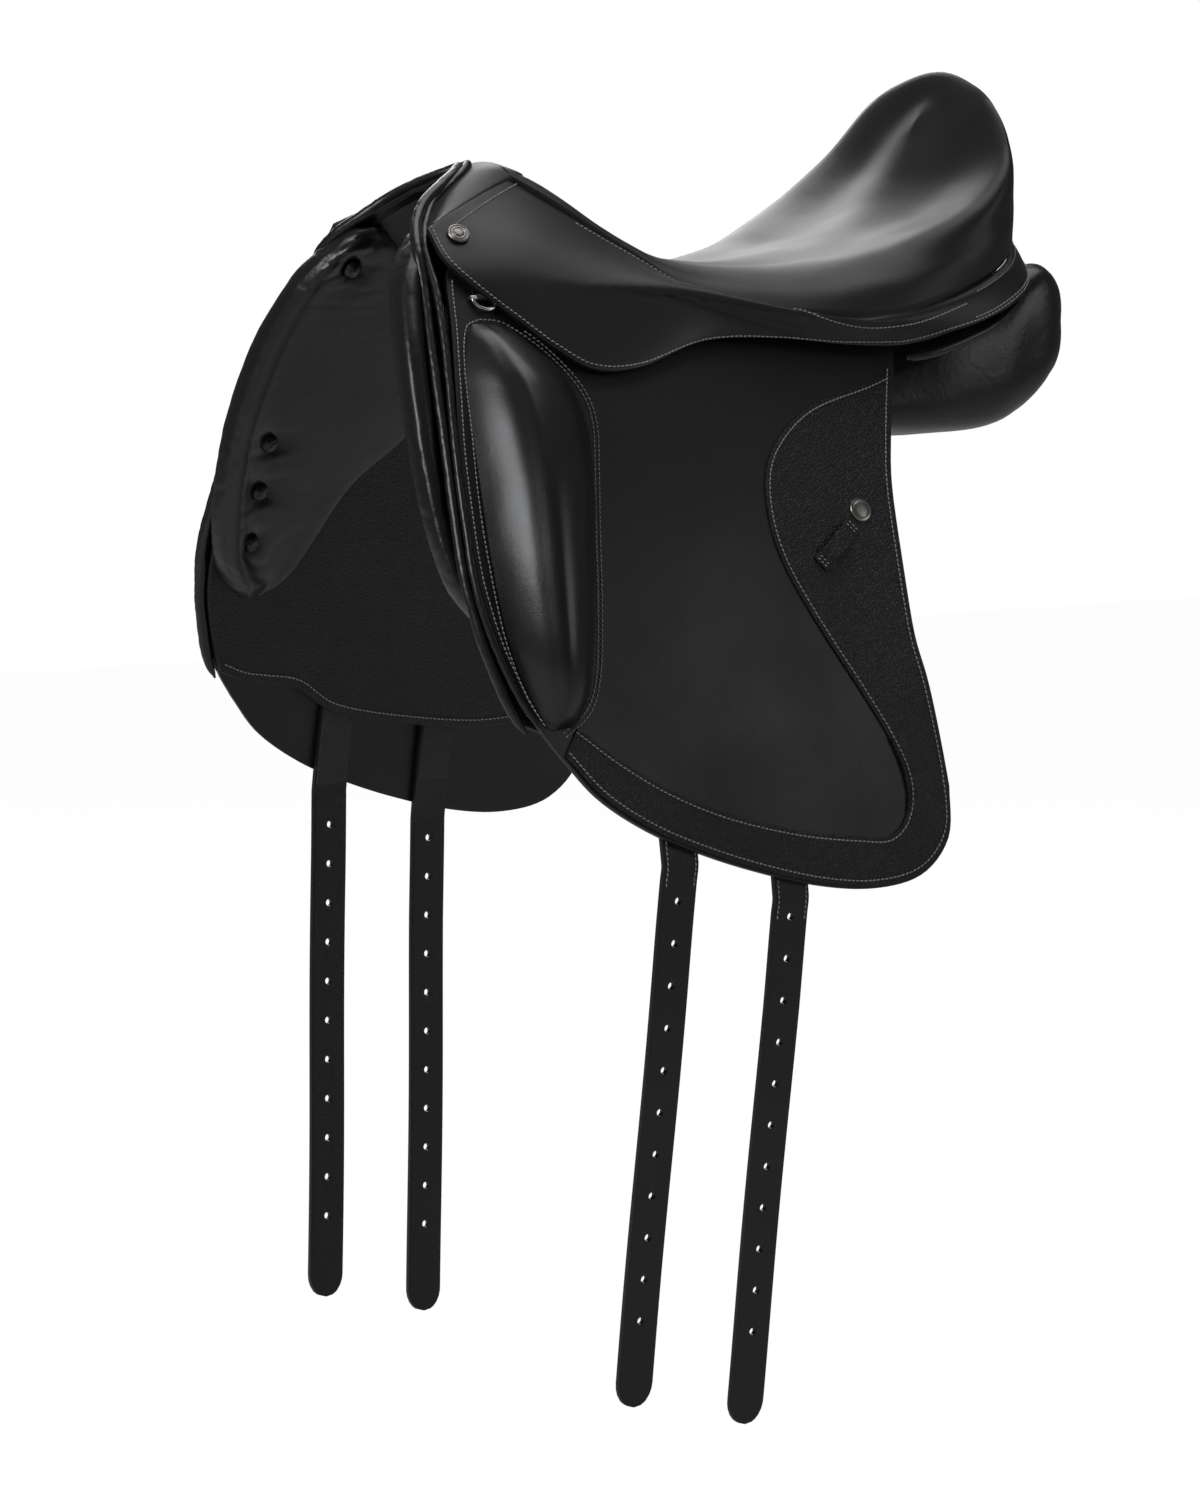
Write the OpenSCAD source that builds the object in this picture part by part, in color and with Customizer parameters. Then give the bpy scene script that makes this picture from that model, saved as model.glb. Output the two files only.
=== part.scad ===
// Dressage saddle with hanging girth billets.
// X runs across the saddle with the near (left) side at +X, the pommel lies toward -Y and +Z is up.
// The origin is on the centre line, in the plane that the panels rest on, under the middle of the seat.

/* [Leg curve] */
// Radius of the curve that flaps and sweat flaps follow down the rider's leg
leg_r = 906; // [880:1:940]
// Centre of that curve across the saddle, measured to the far side
leg_centre_x = -666; // [-680:1:-655]
// Height of the centre of that curve
leg_centre_z = -396; // [-410:1:-380]

/* [Flap] */
// Thickness of the outer flap
flap_t = 4; // [3:0.1:4.4]
// Height of the line where the flap bends, at its front end
bend_front_z = 97; // [94:0.5:99]
// Height of the line where the flap bends, at its rear end
bend_rear_z = 67; // [64:0.5:69]
// Height of the lowest point of the flap
flap_low_z = -276; // [-280:1:-262]
// Thickness of the grained trim on the flap
trim_t = 1.2; // [0.8:0.1:1.8]
// Height of the knee block over the flap
block_h = 42; // [25:1:55]
// Radius of the round badge on the flap
badge_r = 8; // [5:0.5:10]
// Thickness of the badge
badge_t = 1.8; // [1:0.1:3]
// Width of the keeper strap
keeper_w = 12; // [8:0.5:16]
// Thickness of the keeper strap
keeper_t = 2; // [1.5:0.1:3]
// Clear height under the keeper strap
keeper_gap = 3; // [2:0.1:5]

/* [Skirt] */
// Thickness of the skirts
skirt_t = 3.5; // [2.5:0.1:4.5]
// Space between the flap and the skirt over it
skirt_gap = 5.3; // [5.1:0.1:6.5]
// Radius of the stud at the front corner of the skirt
stud_r = 7.5; // [5:0.5:9]
// Height of the stud
stud_t = 2; // [1:0.1:3]

/* [Under the flap] */
// Depth of the billet leather behind the flap's face
billet_depth = 5; // [4.9:0.05:5.1]
// Thickness of the billets
billet_t = 4; // [3:0.1:4]
// Width of the billets
billet_w = 26; // [22:0.5:30]
// Thickness of the girth webs
web_t = 1.5; // [1:0.1:1.6]
// Depth of the sweat flap behind the flap's face
sweat_depth = 11; // [10.9:0.05:11.4]
// Thickness of the sweat flap
sweat_t = 4; // [3:0.1:4.2]
// Radius of the front welt
welt_r = 4; // [3:0.1:4.2]
// Radius of the inner welt
inner_welt_r = 2.8; // [2:0.1:3]

/* [Billets] */
// Number of punched holes in a billet
hole_n = 11; // [6:1:12]
// Distance from hole to hole
hole_pitch = 27.5; // [20:0.5:28]
// Radius of a punched hole
hole_r = 2.5; // [1.5:0.1:3.5]
// Length of a front billet below its bend
front_billet_l = 356; // [345:1:380]
// Length of a rear billet below its bend
rear_billet_l = 350; // [342:1:380]
// Height at which the front billets bend
front_bend_z = -250; // [-262:1:-249]
// Height at which the rear billets bend
rear_bend_z = -277; // [-285:1:-276]
// Place of the front billets along the saddle
front_billet_y = -133; // [-140:1:-126]
// Place of the rear billets along the saddle
rear_billet_y = -50; // [-56:1:-44]

/* [Seat] */
// Thickness of the seat leather
cover_t = 2; // [1.5:0.1:3]
// Gap between one layer and the next
layer_gap = 0.3; // [0.2:0.05:0.5]
// Thickness of the wooden tree
tree_t = 9; // [7:0.5:11]
// Thickness of the head plate
head_plate_t = 4; // [3:0.5:5]
// Width of the head plate along the saddle
head_plate_w = 25; // [18:1:26]
// Thickness of the spring steels
steel_t = 1.5; // [1:0.1:1.8]
// Width of the spring steels
steel_w = 10; // [6:1:12]

/* [Metal fittings] */
// Wire radius of the round side of a saddle ring
ring_wire_r = 1.3; // [1:0.1:1.5]
// Radius of the bar that a saddle ring hangs by
ring_bar_r = 1.6; // [1.5:0.1:1.8]
// Radius of the round side of a saddle ring
ring_r = 9; // [7:0.5:11]
// Radius of the catch pin of a stirrup bar
pin_r = 1.5; // [1:0.1:2]
// Radial clearance of a pin or ring in its hole
pin_gap = 0.08; // [0.05:0.01:0.1]
// Length of the stirrup bar blade
bar_l = 62; // [50:1:64]
// Height of the stirrup bar blade
bar_h = 11; // [9:0.5:12]
// Thickness of the stirrup bar blade
bar_t = 4.7; // [4:0.1:5]
// Clear slot behind the stirrup bar blade
bar_slot = 6; // [4.5:0.1:6]

/* [Hidden] */
$fn = 48;

// Colours of the leathers, metals and inner parts
leather = [0.07, 0.07, 0.075];
gloss_leather = [0.10, 0.10, 0.11];
grained_leather = [0.05, 0.05, 0.05];
pewter = [0.55, 0.54, 0.52];
bright_steel = [0.78, 0.79, 0.80];
beech = [0.72, 0.58, 0.40];
canvas = [0.78, 0.74, 0.64];

// A box or cylinder that reaches past every piece
reach = 400;
// Small gap between glued layers of one body
glue = 0.05;
// Steps round the leg curve, which is so large that few steps would leave it coarse
leg_steps = 720;

// Seat curves from the pommel round to the back of the cantle, near side:
// along the middle, along the rim of the dish, and along the seam of the seat leather
spine = [[0, -136, 190], [0, -109, 178], [0, -64, 147], [0, -24, 129], [0, 36, 122], [0, 92, 127],
    [0, 130, 137], [0, 160, 153], [0, 184, 175], [0, 200, 198], [0, 210, 216]];
rim = [[16, -136, 187], [24, -109, 174], [36, -64, 142], [52, -24, 124], [74, 36, 119], [95, 100, 128],
    [109, 142, 144], [115, 180, 164], [104, 210, 193], [64, 224, 232], [0, 231, 249]];
seam = [[26, -136, 180], [42, -109, 161], [62, -64, 131], [92, -24, 101], [124, 36, 90], [135, 100, 91],
    [130, 150, 101], [120, 192, 116], [98, 220, 130], [54, 240, 146], [0, 247, 152]];
// How far the dish sinks and the side wall swells at each of those stations
dish = [0, 0, 0, 0, 0, 2, 5, 8, 10, 9, 4];
swell = [1, 2, 3, 5, 8, 9, 9, 6, 3, 3, 3];
// Lower edge of the skirt and of the band round the cantle, where they stay still
band_edge = [[60, -221, 150], [90, -203, 116], [102.6, -150, 102.2], [108.7, -70, 94.8], [121, 26, 76], [130, 98, 69],
    [134, 142, 77], [131, 188, 90], [117, 220, 107], [62, 247, 124], [0, 257, 130]];
// How far the band bulges between the seam and its lower edge
band_swell = [3, 8, 11, 16, 11, 3, 2, 2, 2, 2, 2];

// Outlines seen from the near side, as places along the saddle and heights
flap_corner = [[-237.5, -122], [-227.5, -152]];
flap_low = [[-216, -178], [-192, -205], [-157, -228], [-118, -245], [-77, -259], [-31, -271], [12, flap_low_z],
    [50, -270], [74, -248], [79, -215]];
flap_rear = [[74, -150], [69, -108], [75, -31], [88, 14], [109, 64]];
trim_inner = [[96, 50], [76, 44], [29, 32], [-2, 14], [-21, -8], [-28, -39], [-23, -71], [-5, -110],
    [18, -150], [36, -183], [45, -209], [41, -231], [27, -243], [4, -242], [-43, -235], [-96, -221],
    [-139, -203], [-174, -182], [-203, -160]];
skirt_low = [[-181, 93], [-160, 74], [-145, 62], [-128, 57], [-105, 59], [-73, 69], [-50, 74.5]];
sweat_front = [[-192, 138], [-216, 105], [-233, 60], [-242, 15], [-248, -38], [-247, -92], [-238, -128],
    [-218, -162]];
sweat_low = [[-198, -166], [-172, -173], [-140, -192], [-83, -204], [-16, -211], [28, -203]];
sweat_rear = [[50, -170], [50, -100], [56, -30], [70, 20], [80, 58]];
sweat_top = [[-20, 76], [-108, 84], [-122, 116], [-160, 136]];

// Front edge of the saddle, where the welts run: places along the saddle and heights down the leg
welt_line = [[-225, 105], [-234, 74], [-242, 43], [-248, 13], [-252, -17], [-254, -54], [-253, -91],
    [-248, -121], [-239, -148], [-229, -170]];
welt_head = [[0, -149, 183], [20, -160, 176], [36, -184, 163], [50, -206, 146]];

// Knee block stations: height, front edge, rear edge and share of the full height
block_stations = [[90, -211, -188, 0.05], [80, -221, -179, 0.42], [64, -230, -161, 0.72], [48, -233.5, -150, 0.87],
    [26, -236, -146, 0.95], [-12, -243, -156, 1], [-56, -248, -168, 0.96], [-100, -249, -179, 0.86], [-132, -244, -187, 0.68],
    [-150, -236, -195, 0.4], [-160, -226, -204, 0.05]];

// Front panel stations: height, front of the roll, rear edge and thickness of the tail
front_panel_stations = [[139, -222, -150, 4], [124, -242, -124, 8], [104, -253, -119, 10], [75, -262, -119, 10],
    [26, -272, -119, 10], [0, -273, -132, 9], [-26, -273, -160, 8], [-54, -269, -177, 8], [-80, -260, -190, 7],
    [-97, -246, -203, 6], [-105, -234, -216, 3]];

// Panel stations: place along the saddle, then inner top, outer top, outer bottom and inner bottom corner
panel_stations = [
    [-116, [40, 96], [70, 92], [92, 50], [62, 40]],
    [-106, [34, 102], [74, 100], [104, 34], [54, 22]],
    [-64, [33, 102], [78, 98], [112, 20], [50, 7]],
    [-24, [33, 82], [84, 82], [118, 12], [46, 1]],
    [36, [33, 75], [92, 74], [122, 12], [42, -0.5]],
    [100, [34, 76], [96, 75], [122, 12], [40, -0.5]],
    [150, [35, 82], [112, 84], [120, 10], [41, 2]],
    [195, [36, 100], [108, 98], [112, 14], [44, 9]],
    [228, [40, 106], [100, 108], [100, 28], [48, 24]],
    [247, [48, 100], [88, 102], [88, 48], [54, 46]],
    [254, [58, 88], [80, 90], [80, 64], [60, 62]]
];
// Piped rim over the rear of the panel
rim_path = [[123, 113, 60.5], [127.1, 132, 63], [127, 160, 71], [123, 190, 82], [111.3, 217.3, 97],
    [87.5, 235.2, 108], [61.8, 243.2, 114]];

// Tree in plan: outer and inner edge of the near half
tree_outer = [[0, -134], [16, -132], [30, -109], [50, -64], [76, -24], [94, 36], [96, 100], [106, 145],
    [102, 192], [82, 214], [40, 228], [0, 232]];
tree_inner = [[0, -104], [7, -100], [13, -90], [31, -56], [50, -16], [66, 36], [70, 90], [68, 130], [56, 158],
    [34, 176], [0, 184]];
tree_depth = 4.6;

// Bend axis of the flap: place along the saddle of its two ends
bend_front_y = -217;
bend_rear_y = 106;
bead_gap = 0.4;
// How much higher the skirt bends than the flap under it
skirt_raise = 7;

// Stirrup bar places
bar_front_y = -108;
bar_z = 100;
bar_depth = -1;
bar_plate_t = 2.8;
catch_t = 2.2;
catch_l = 12;

// Saddle ring place on the front of the flap
ring_y = -198;
ring_z = 104.4;

// Billet lean from its bend down to its tip, inward and forward, in degrees
billet_lean_in = 4;
billet_lean_front = 3.2;
billet_tip_l = 16;
front_hole_drop = 24;
rear_hole_drop = 13;

// Value of a smooth curve through the entries of a list, at place t counted in entries.
// A round curve ends on the middle plane and runs on as its own mirror image.
function on_curve(p, t, round = false) =
    let (n = len(p) - 1, i = max(0, min(floor(t), n - 1)), f = t - i)
    let (b = p[i], c = p[i + 1])
    let (past = !round ? 2 * c - b : is_list(b) ? [-b.x, b.y, b.z] : b)
    let (a = i > 0 ? p[i - 1] : 2 * b - c, d = i < n - 1 ? p[i + 2] : past)
    0.5 * (2 * b + (c - a) * f + (2 * a - 5 * b + 4 * c - d) * f * f + (3 * b - a - 3 * c + d) * f * f * f);

// The same curve as a list, with k steps from entry to entry
function smooth(p, k) = [for (i = [0 : k * (len(p) - 1)]) on_curve(p, i / k)];

// Distance from the middle to the leg curve at a height, at a depth behind the flap's face
function leg_x(z, depth = 0) = leg_centre_x + sqrt(pow(leg_r - depth, 2) - pow(z - leg_centre_z, 2));

// Height of the flap's bend line at a place along the saddle
function bend_z(y) = bend_front_z
    + (bend_rear_z - bend_front_z) * (y - bend_front_y) / (bend_rear_y - bend_front_y);

// Unit vector
function unit(v) = v / max(norm(v), 0.000001);

// Point of the near half of the seat: u counts stations, v runs from the middle (0) to the seam (1)
function seat_surface(u, v) =
    let (s = on_curve(spine, u, true), r = on_curve(rim, u, true), e = on_curve(seam, u, true))
    let (away = unit([e.x, max(0, e.y - 60), 0]))
    let (m = (s + r) / 2 - [0, 0, 0.6 * on_curve(dish, u, true)])
    let (w = (r + e) / 2 + on_curve(swell, u, true) * (away + [0, 0, 0.5]))
    on_curve([s, m, r, w, e], 4 * v);

// Point of the skirt and band: v runs from the seam (0) to the lower edge (1)
function band_surface(u, v) =
    let (e = on_curve(seam, u, true), l = on_curve(band_edge, u, true), b = on_curve(band_swell, u, true))
    let (away = unit([e.x, max(0, e.y - 60), u < 5 ? e.x : 0]))
    e + (l - e) * v + away * b * 4 * v * (1 - v);

// Outward normal of a surface by small steps; which names the surface
function face_point(which, u, v) = which == 0 ? seat_surface(u, v) : band_surface(u, v);
function normal_at(which, u, v) =
    let (h = 0.01, u0 = max(0, u - h), v0 = max(0, v - h), v1 = min(1, v + h))
    let (du = face_point(which, u0 + 2 * h, v) - face_point(which, u0, v))
    let (dv = face_point(which, u, v1) - face_point(which, u, v0))
    unit(cross(dv, du));
function shell_point(which, u, v, inward) = face_point(which, u, v) - inward * normal_at(which, u, v);

// Rows of the whole seat at a depth under its face, from the off seam over the middle to the near seam
seat_rows = 24;
seat_cols = 9;
function seat_row(i, inward) =
    let (u = i * (len(seam) - 1) / seat_rows, last = i == seat_rows)
    [for (j = [-seat_cols : seat_cols])
        let (v = abs(j) / seat_cols)
        let (p = shell_point(0, min(u, len(seam) - 1.03), v, inward), q = face_point(0, u, v))
        let (mid = j == 0 ? [0, q.y, q.z - inward] : last ? [0, q.y - inward, q.z - inward * 0.5] : p)
        [(j < 0 ? -1 : 1) * mid.x, mid.y, mid.z]];
function flat_list(rows) = [for (r = rows) for (p = r) p];

// Index of a seat point: the two halves of the last row share their points
function seat_id(i, j) =
    let (w = 2 * seat_cols + 1, k = (i == seat_rows && j < seat_cols) ? 2 * seat_cols - j : j)
    i * w + k;
function quad(a, b, c, d) = a == b ? [[b, c, d]] : c == d ? [[a, b, c]] : [[a, b, c], [a, c, d]];
function turned(faces) = [for (f = faces) [for (k = [len(f) - 1 : -1 : 0]) f[k]]];
function shifted(faces, by) = [for (f = faces) [for (k = f) k + by]];
seat_faces = [for (i = [0 : seat_rows - 1]) for (j = [0 : 2 * seat_cols - 1])
    for (f = quad(seat_id(i, j), seat_id(i, j + 1), seat_id(i + 1, j + 1), seat_id(i + 1, j))) f];

// Solid from points and faces, with the faces turned to face outward whichever way they were listed
function six_volumes(points, faces) = [for (f = faces) for (k = [1 : len(f) - 2])
    points[f[0]] * cross(points[f[k]], points[f[k + 1]])];
function total(v) = v * [for (i = v) 1];
module closed(points, faces) {
    outward = total(six_volumes(points, faces)) < 0;
    polyhedron(points, outward ? faces : turned(faces), convexity = 8);
}

// Closed solid through rings of equal length, with flat ends
module loft(rings) {
    n = len(rings[0]);
    m = len(rings);
    points = flat_list(rings);
    sides = [for (i = [0 : m - 2]) for (j = [0 : n - 1])
        let (k = (j + 1) % n)
        for (f = [[i * n + j, i * n + k, (i + 1) * n + k], [i * n + j, (i + 1) * n + k, (i + 1) * n + j]]) f];
    ends = [[for (j = [n - 1 : -1 : 0]) j], [for (j = [0 : n - 1]) (m - 1) * n + j]];
    closed(points, concat(sides, ends));
}

// Closed sheet between an outer and an inner grid of the same size
module sheet(outer, inner) {
    m = len(outer);
    n = len(outer[0]);
    b = m * n;
    points = concat(flat_list(outer), flat_list(inner));
    face = [for (i = [0 : m - 2]) for (j = [0 : n - 2])
        for (f = quad(i * n + j, i * n + j + 1, (i + 1) * n + j + 1, (i + 1) * n + j)) f];
    edge = concat([for (j = [0 : n - 1]) j], [for (i = [1 : m - 1]) i * n + n - 1],
        [for (j = [n - 2 : -1 : 0]) (m - 1) * n + j], [for (i = [m - 2 : -1 : 1]) i * n]);
    walls = [for (k = [0 : len(edge) - 1])
        let (p = edge[k], q = edge[(k + 1) % len(edge)])
        for (f = [[p, b + p, b + q], [p, b + q, q]]) f];
    closed(points, concat(face, turned(shifted(face, b)), walls));
}

// Tube of radius r along a path, drawn as rings square to it
module tube(path, r, sides) {
    n = len(path);
    rings = [for (i = [0 : n - 1])
        let (t = unit(path[min(i + 1, n - 1)] - path[max(i - 1, 0)]))
        let (a = unit(cross(t, [0.9, 0.3, 0.2])), b = cross(t, a))
        [for (k = [0 : sides - 1]) path[i] + r * (cos(360 * k / sides) * a + sin(360 * k / sides) * b)]];
    loft(rings);
}

// Draws the near-side shape as it is, or mirrored for the off side
module on_side(side) {
    if (side > 0) children();
    else mirror([1, 0, 0]) children();
}

// Bent layer that follows the leg curve, from a depth behind the flap's face inward
module leg_layer(depth, thick) {
    translate([leg_centre_x, -reach, leg_centre_z]) rotate([-90, 0, 0]) difference() {
        cylinder(r = leg_r - depth, h = 2 * reach, $fn = leg_steps);
        translate([0, 0, -1]) cylinder(r = leg_r - depth - thick, h = 2 * reach + 2, $fn = leg_steps);
    }
}

// Prism across the near side whose outline is given along the saddle and in height
module side_prism(points) {
    rotate([90, 0, 90]) linear_extrude(height = reach) polygon(points);
}

// Piece of leather cut to an outline and bent to the leg curve
module leg_piece(depth, thick, points) {
    intersection() {
        leg_layer(depth, thick);
        side_prism(points);
    }
}

// Round bead or rod between two points
module rod(a, b, r) {
    v = b - a;
    translate(a) rotate([0, acos(v.z / norm(v)), atan2(v.y, v.x)]) cylinder(r = r, h = norm(v));
}

// Puts a child's Z axis square to the leg curve at a place, on the given depth
module on_leg(y, z, depth) {
    tilt = atan2(z - leg_centre_z, leg_x(z) - leg_centre_x);
    translate([leg_centre_x, y, leg_centre_z]) rotate([0, 90 - tilt, 0]) translate([0, 0, leg_r - depth])
        children();
}

// Point of the bend axis of a layer whose middle lies at a depth
function bend_point(y, depth, raise = 0) = [leg_x(bend_z(y) + raise, depth), y, bend_z(y) + raise];

// Line moved square to itself by a distance, toward the rear where the line runs down
function square_off(p, by) = [for (k = [0 : len(p) - 1])
    let (t = unit(p[min(k + 1, len(p) - 1)] - p[max(k - 1, 0)]))
    p[k] + by * [-t.y, t.x]];

// Place of the inner welt and of the flap's front edge behind the middle of the front welt
inner_welt_back = welt_r + inner_welt_r + layer_gap;
front_inset = inner_welt_back + inner_welt_r + 0.9;

// Outline of the whole flap, and the parts of the side view above and below the bend
flap_edge = smooth(concat(square_off([for (k = [0 : 6]) welt_line[k]], front_inset), flap_corner, flap_low,
    flap_rear), 3);
flap_outline = concat(flap_edge, [[107, 76], [60, 80], [36, 82], [-10, 91], [-40, 97], [-100, 114], [-194, 132]]);
function below_bend(raise = 0) = [[-reach, bend_z(-reach) + raise], [reach, bend_z(reach) + raise],
    [reach, -reach], [-reach, -reach]];
function above_bend(gap) = [[-reach, bend_z(-reach) + gap], [reach, bend_z(reach) + gap], [reach, reach],
    [-reach, reach]];

// Side profile of the tree: its top follows the seam of the seat
seam_side = [for (p = smooth(seam, 3)) [p.y, p.z]];
function profile_band(top, bottom) = concat([for (p = seam_side) p - [0, top]],
    [for (k = [len(seam_side) - 1 : -1 : 0]) seam_side[k] - [0, bottom]]);
tree_top = tree_depth;
tree_bottom = tree_depth + tree_t;

module profile_slab(top, bottom) {
    rotate([90, 0, 90]) translate([0, 0, -reach]) linear_extrude(height = 2 * reach)
        polygon(profile_band(top, bottom));
}

// Plan ring of the tree, from the smoothed edges of its near half
module tree_plan() {
    outer = smooth(tree_outer, 3);
    inner = smooth(tree_inner, 3);
    back = len(outer) - 1;
    back_in = len(inner) - 1;
    difference() {
        polygon(concat(outer, [for (k = [back - 1 : -1 : 1]) [-outer[k].x, outer[k].y]]));
        polygon(concat(inner, [for (k = [back_in - 1 : -1 : 1]) [-inner[k].x, inner[k].y]]));
    }
}

// Wooden tree: rails that widen to the cantle, joined at the head
module tree() {
    color(beech) {
        intersection() {
            profile_slab(tree_top, tree_bottom);
            linear_extrude(height = reach) tree_plan();
        }
        for (side = [1, -1]) on_side(side) bar_seat();
    }
}

// Wooden seat under the stirrup bar, let into the rail
bar_seat_y = [bar_front_y - 2, bar_front_y + bar_l + 8];
bar_seat_z = [106, 118];
bar_seat_in = 50;
bar_seat_w = 60;
bar_plate_depth = bar_depth + bar_t + bar_slot;
module bar_seat() {
    intersection() {
        translate([bar_seat_in, bar_seat_y[0], bar_seat_z[0]])
            cube([bar_seat_w, bar_seat_y[1] - bar_seat_y[0], bar_seat_z[1] - bar_seat_z[0]]);
        leg_layer(bar_plate_depth + bar_plate_t + layer_gap, reach / 8);
        profile_slab(tree_top, bar_seat_w);
    }
}

// Steel arch under the head, with two legs down into the points
head_front_y = -146;
head_top_z = seam[1].z - tree_bottom + 7.5;
head_leg_z = 44;
head_depth = 16.6;
module head_plate() {
    color(bright_steel) intersection() {
        difference() {
            head_arch(head_depth, head_top_z);
            head_arch(head_depth + head_plate_t, head_top_z - head_plate_t);
        }
        translate([-reach, head_front_y, head_leg_z]) cube([2 * reach, head_plate_w, reach]);
    }
}

// Solid pointed arch inside the two leg curves, cut flat on top
module head_arch(depth, top) {
    intersection() {
        leg_side(depth);
        on_side(-1) leg_side(depth);
        translate([-reach, -reach, -reach]) cube([2 * reach, 2 * reach, reach + top]);
    }
}
module leg_side(depth) {
    translate([leg_centre_x, -reach, leg_centre_z]) rotate([-90, 0, 0])
        cylinder(r = leg_r - depth, h = 2 * reach, $fn = leg_steps);
}

// Spring steels under the rails, from the head to the cantle
module spring_steels() {
    line = [for (p = smooth([for (k = [1 : len(tree_inner) - 3]) tree_inner[k]], 3)) p + [8, 0]];
    strip = concat([for (p = line) p - [steel_w / 2, 0]],
        [for (k = [len(line) - 1 : -1 : 0]) line[k] + [steel_w / 2, 0]]);
    color(bright_steel) for (side = [1, -1]) on_side(side) intersection() {
        profile_slab(tree_bottom + glue, tree_bottom + glue + steel_t);
        linear_extrude(height = reach) polygon(strip);
    }
}

// Rivets that hold the stirrup bar plates to the tree
rivet_r = 3;
rivet_head_t = 1.2;
rivet_up = bar_h / 2 + 2.5;
rivet_y = [14, bar_l - 14];
module tree_rivets() {
    color(bright_steel) for (side = [1, -1], y = rivet_y) on_side(side)
        on_leg(bar_front_y, bar_z, bar_plate_depth) translate([-rivet_up, y, glue])
            cylinder(r = rivet_r, h = rivet_head_t);
}

// Canvas webs strained over the tree from head to cantle and across
seat_web_w = 60;
seat_web_y = [-118, 200];
cross_web_w = 46;
cross_web_l = 176;
cross_web_y = 30;
seat_web_t = 1;
module seat_webs() {
    color(canvas) intersection() {
        profile_slab(tree_top - glue - seat_web_t, tree_top - glue);
        union() {
            translate([-seat_web_w / 2, seat_web_y[0], 0]) cube([seat_web_w, seat_web_y[1] - seat_web_y[0], reach]);
            translate([-cross_web_l / 2, cross_web_y, 0]) cube([cross_web_l, cross_web_w, reach]);
        }
    }
}

// Foam of the seat, crowned on top and flat over the tree
foam_depth = cover_t + layer_gap;
module seat_foam() {
    n = 2 * seat_cols + 1;
    points = flat_list([for (i = [0 : seat_rows]) seat_row(i, foam_depth)]);
    low = [for (i = [0 : seat_rows - 1])
        for (f = quad(seat_id(i, 0), seat_id(i + 1, 0), seat_id(i + 1, 2 * seat_cols), seat_id(i, 2 * seat_cols)))
            f];
    front = [for (j = [1 : 2 * seat_cols - 1]) [j + 1, j, 0]];
    color(canvas) closed(points, concat(seat_faces, low, front));
}

// Leather of the seat, one sheet drawn over the foam to the seam
module seat_cover() {
    count = (seat_rows + 1) * (2 * seat_cols + 1);
    points = flat_list(concat([for (i = [0 : seat_rows]) seat_row(i, 0)],
        [for (i = [0 : seat_rows]) seat_row(i, cover_t)]));
    last = 2 * seat_cols;
    edge = concat([for (j = [0 : last]) seat_id(0, j)], [for (i = [1 : seat_rows]) seat_id(i, last)],
        [for (i = [seat_rows - 1 : -1 : 1]) seat_id(i, 0)]);
    walls = [for (k = [0 : len(edge) - 1])
        let (p = edge[k], q = edge[(k + 1) % len(edge)])
        for (f = [[p, count + p, count + q], [p, count + q, q]]) f];
    color(leather) closed(points, concat(seat_faces, turned(shifted(seat_faces, count)), walls));
}

// Leather over the head between the welts and the seam across the pommel
pommel_front = [[0, -143.6, 188.3], [20, -154.6, 181.6], [36, -173.6, 168.4], [49, -198.4, 155.2]];
pommel_back = [[0, -137.6, 190.5], [16, -137.6, 187.5], [30, -150, 179], [50, -198, 160]];
module pommel_cover() {
    half = smooth(pommel_front, 3);
    half_back = smooth(pommel_back, 3);
    n = len(half) - 1;
    row = [for (k = [-n : n]) [for (v = [0 : 0.5 : 1])
        let (p = half[abs(k)] * (1 - v) + half_back[abs(k)] * v + [0, 0, 6 * v * (1 - v)])
        [sign(k) * p.x, p.y, p.z]]];
    color(leather) sheet(row, [for (r = row) [for (p = r) p - [0, 0, cover_t]]]);
}

// Leather lining of the gullet under the head
lining_t = 2;
lining_depth = 21.2;
lining_top = head_top_z - head_plate_t - 0.5;
lining_low_z = 139;
lining_w = 44;
module gullet_lining() {
    color(leather) difference() {
        intersection() {
            head_arch(lining_depth, lining_top);
            translate([-reach, head_front_y, lining_low_z]) cube([2 * reach, lining_w, reach]);
        }
        head_arch(lining_depth + lining_t, lining_top - lining_t);
        profile_slab(-reach, tree_bottom + layer_gap);
    }
}

// Fixed upper part of the skirt, running on as the band round the cantle
band_rows = 30;
band_cols = 4;
seam_drop = 2.2;
module skirt_top(side) {
    stop = len(seam) - 1;
    grid = function (inward) [for (i = [0 : band_rows])
        let (u = stop * i / band_rows)
        let (start = seam_drop / norm(on_curve(band_edge, u, true) - on_curve(seam, u, true)))
        [for (k = [0 : band_cols])
            let (p = shell_point(1, u, start + (1 - start) * k / band_cols, inward))
            i == band_rows ? [layer_gap / 2, p.y, p.z] : p]];
    color(leather) on_side(side) sheet(grid(0), grid(skirt_t));
}

// Loose lobe of the skirt below the bend, with a round bead along its bend axis
skirt_depth = -skirt_gap - skirt_t;
skirt_mid = skirt_depth + skirt_t / 2;
lobe_y = [-172, -46];
lobe_top_z = 110;
module skirt(side) {
    color(leather) on_side(side) {
        intersection() {
            leg_piece(skirt_depth, skirt_t, concat(smooth(skirt_low, 3), [[lobe_y[1] + 2, lobe_top_z],
                [lobe_y[0] - 9, lobe_top_z]]));
            side_prism(below_bend(skirt_raise));
        }
        rod(bend_point(lobe_y[0], skirt_mid, skirt_raise), bend_point(lobe_y[1], skirt_mid, skirt_raise),
            skirt_t / 2 + bead_gap);
    }
}

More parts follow.
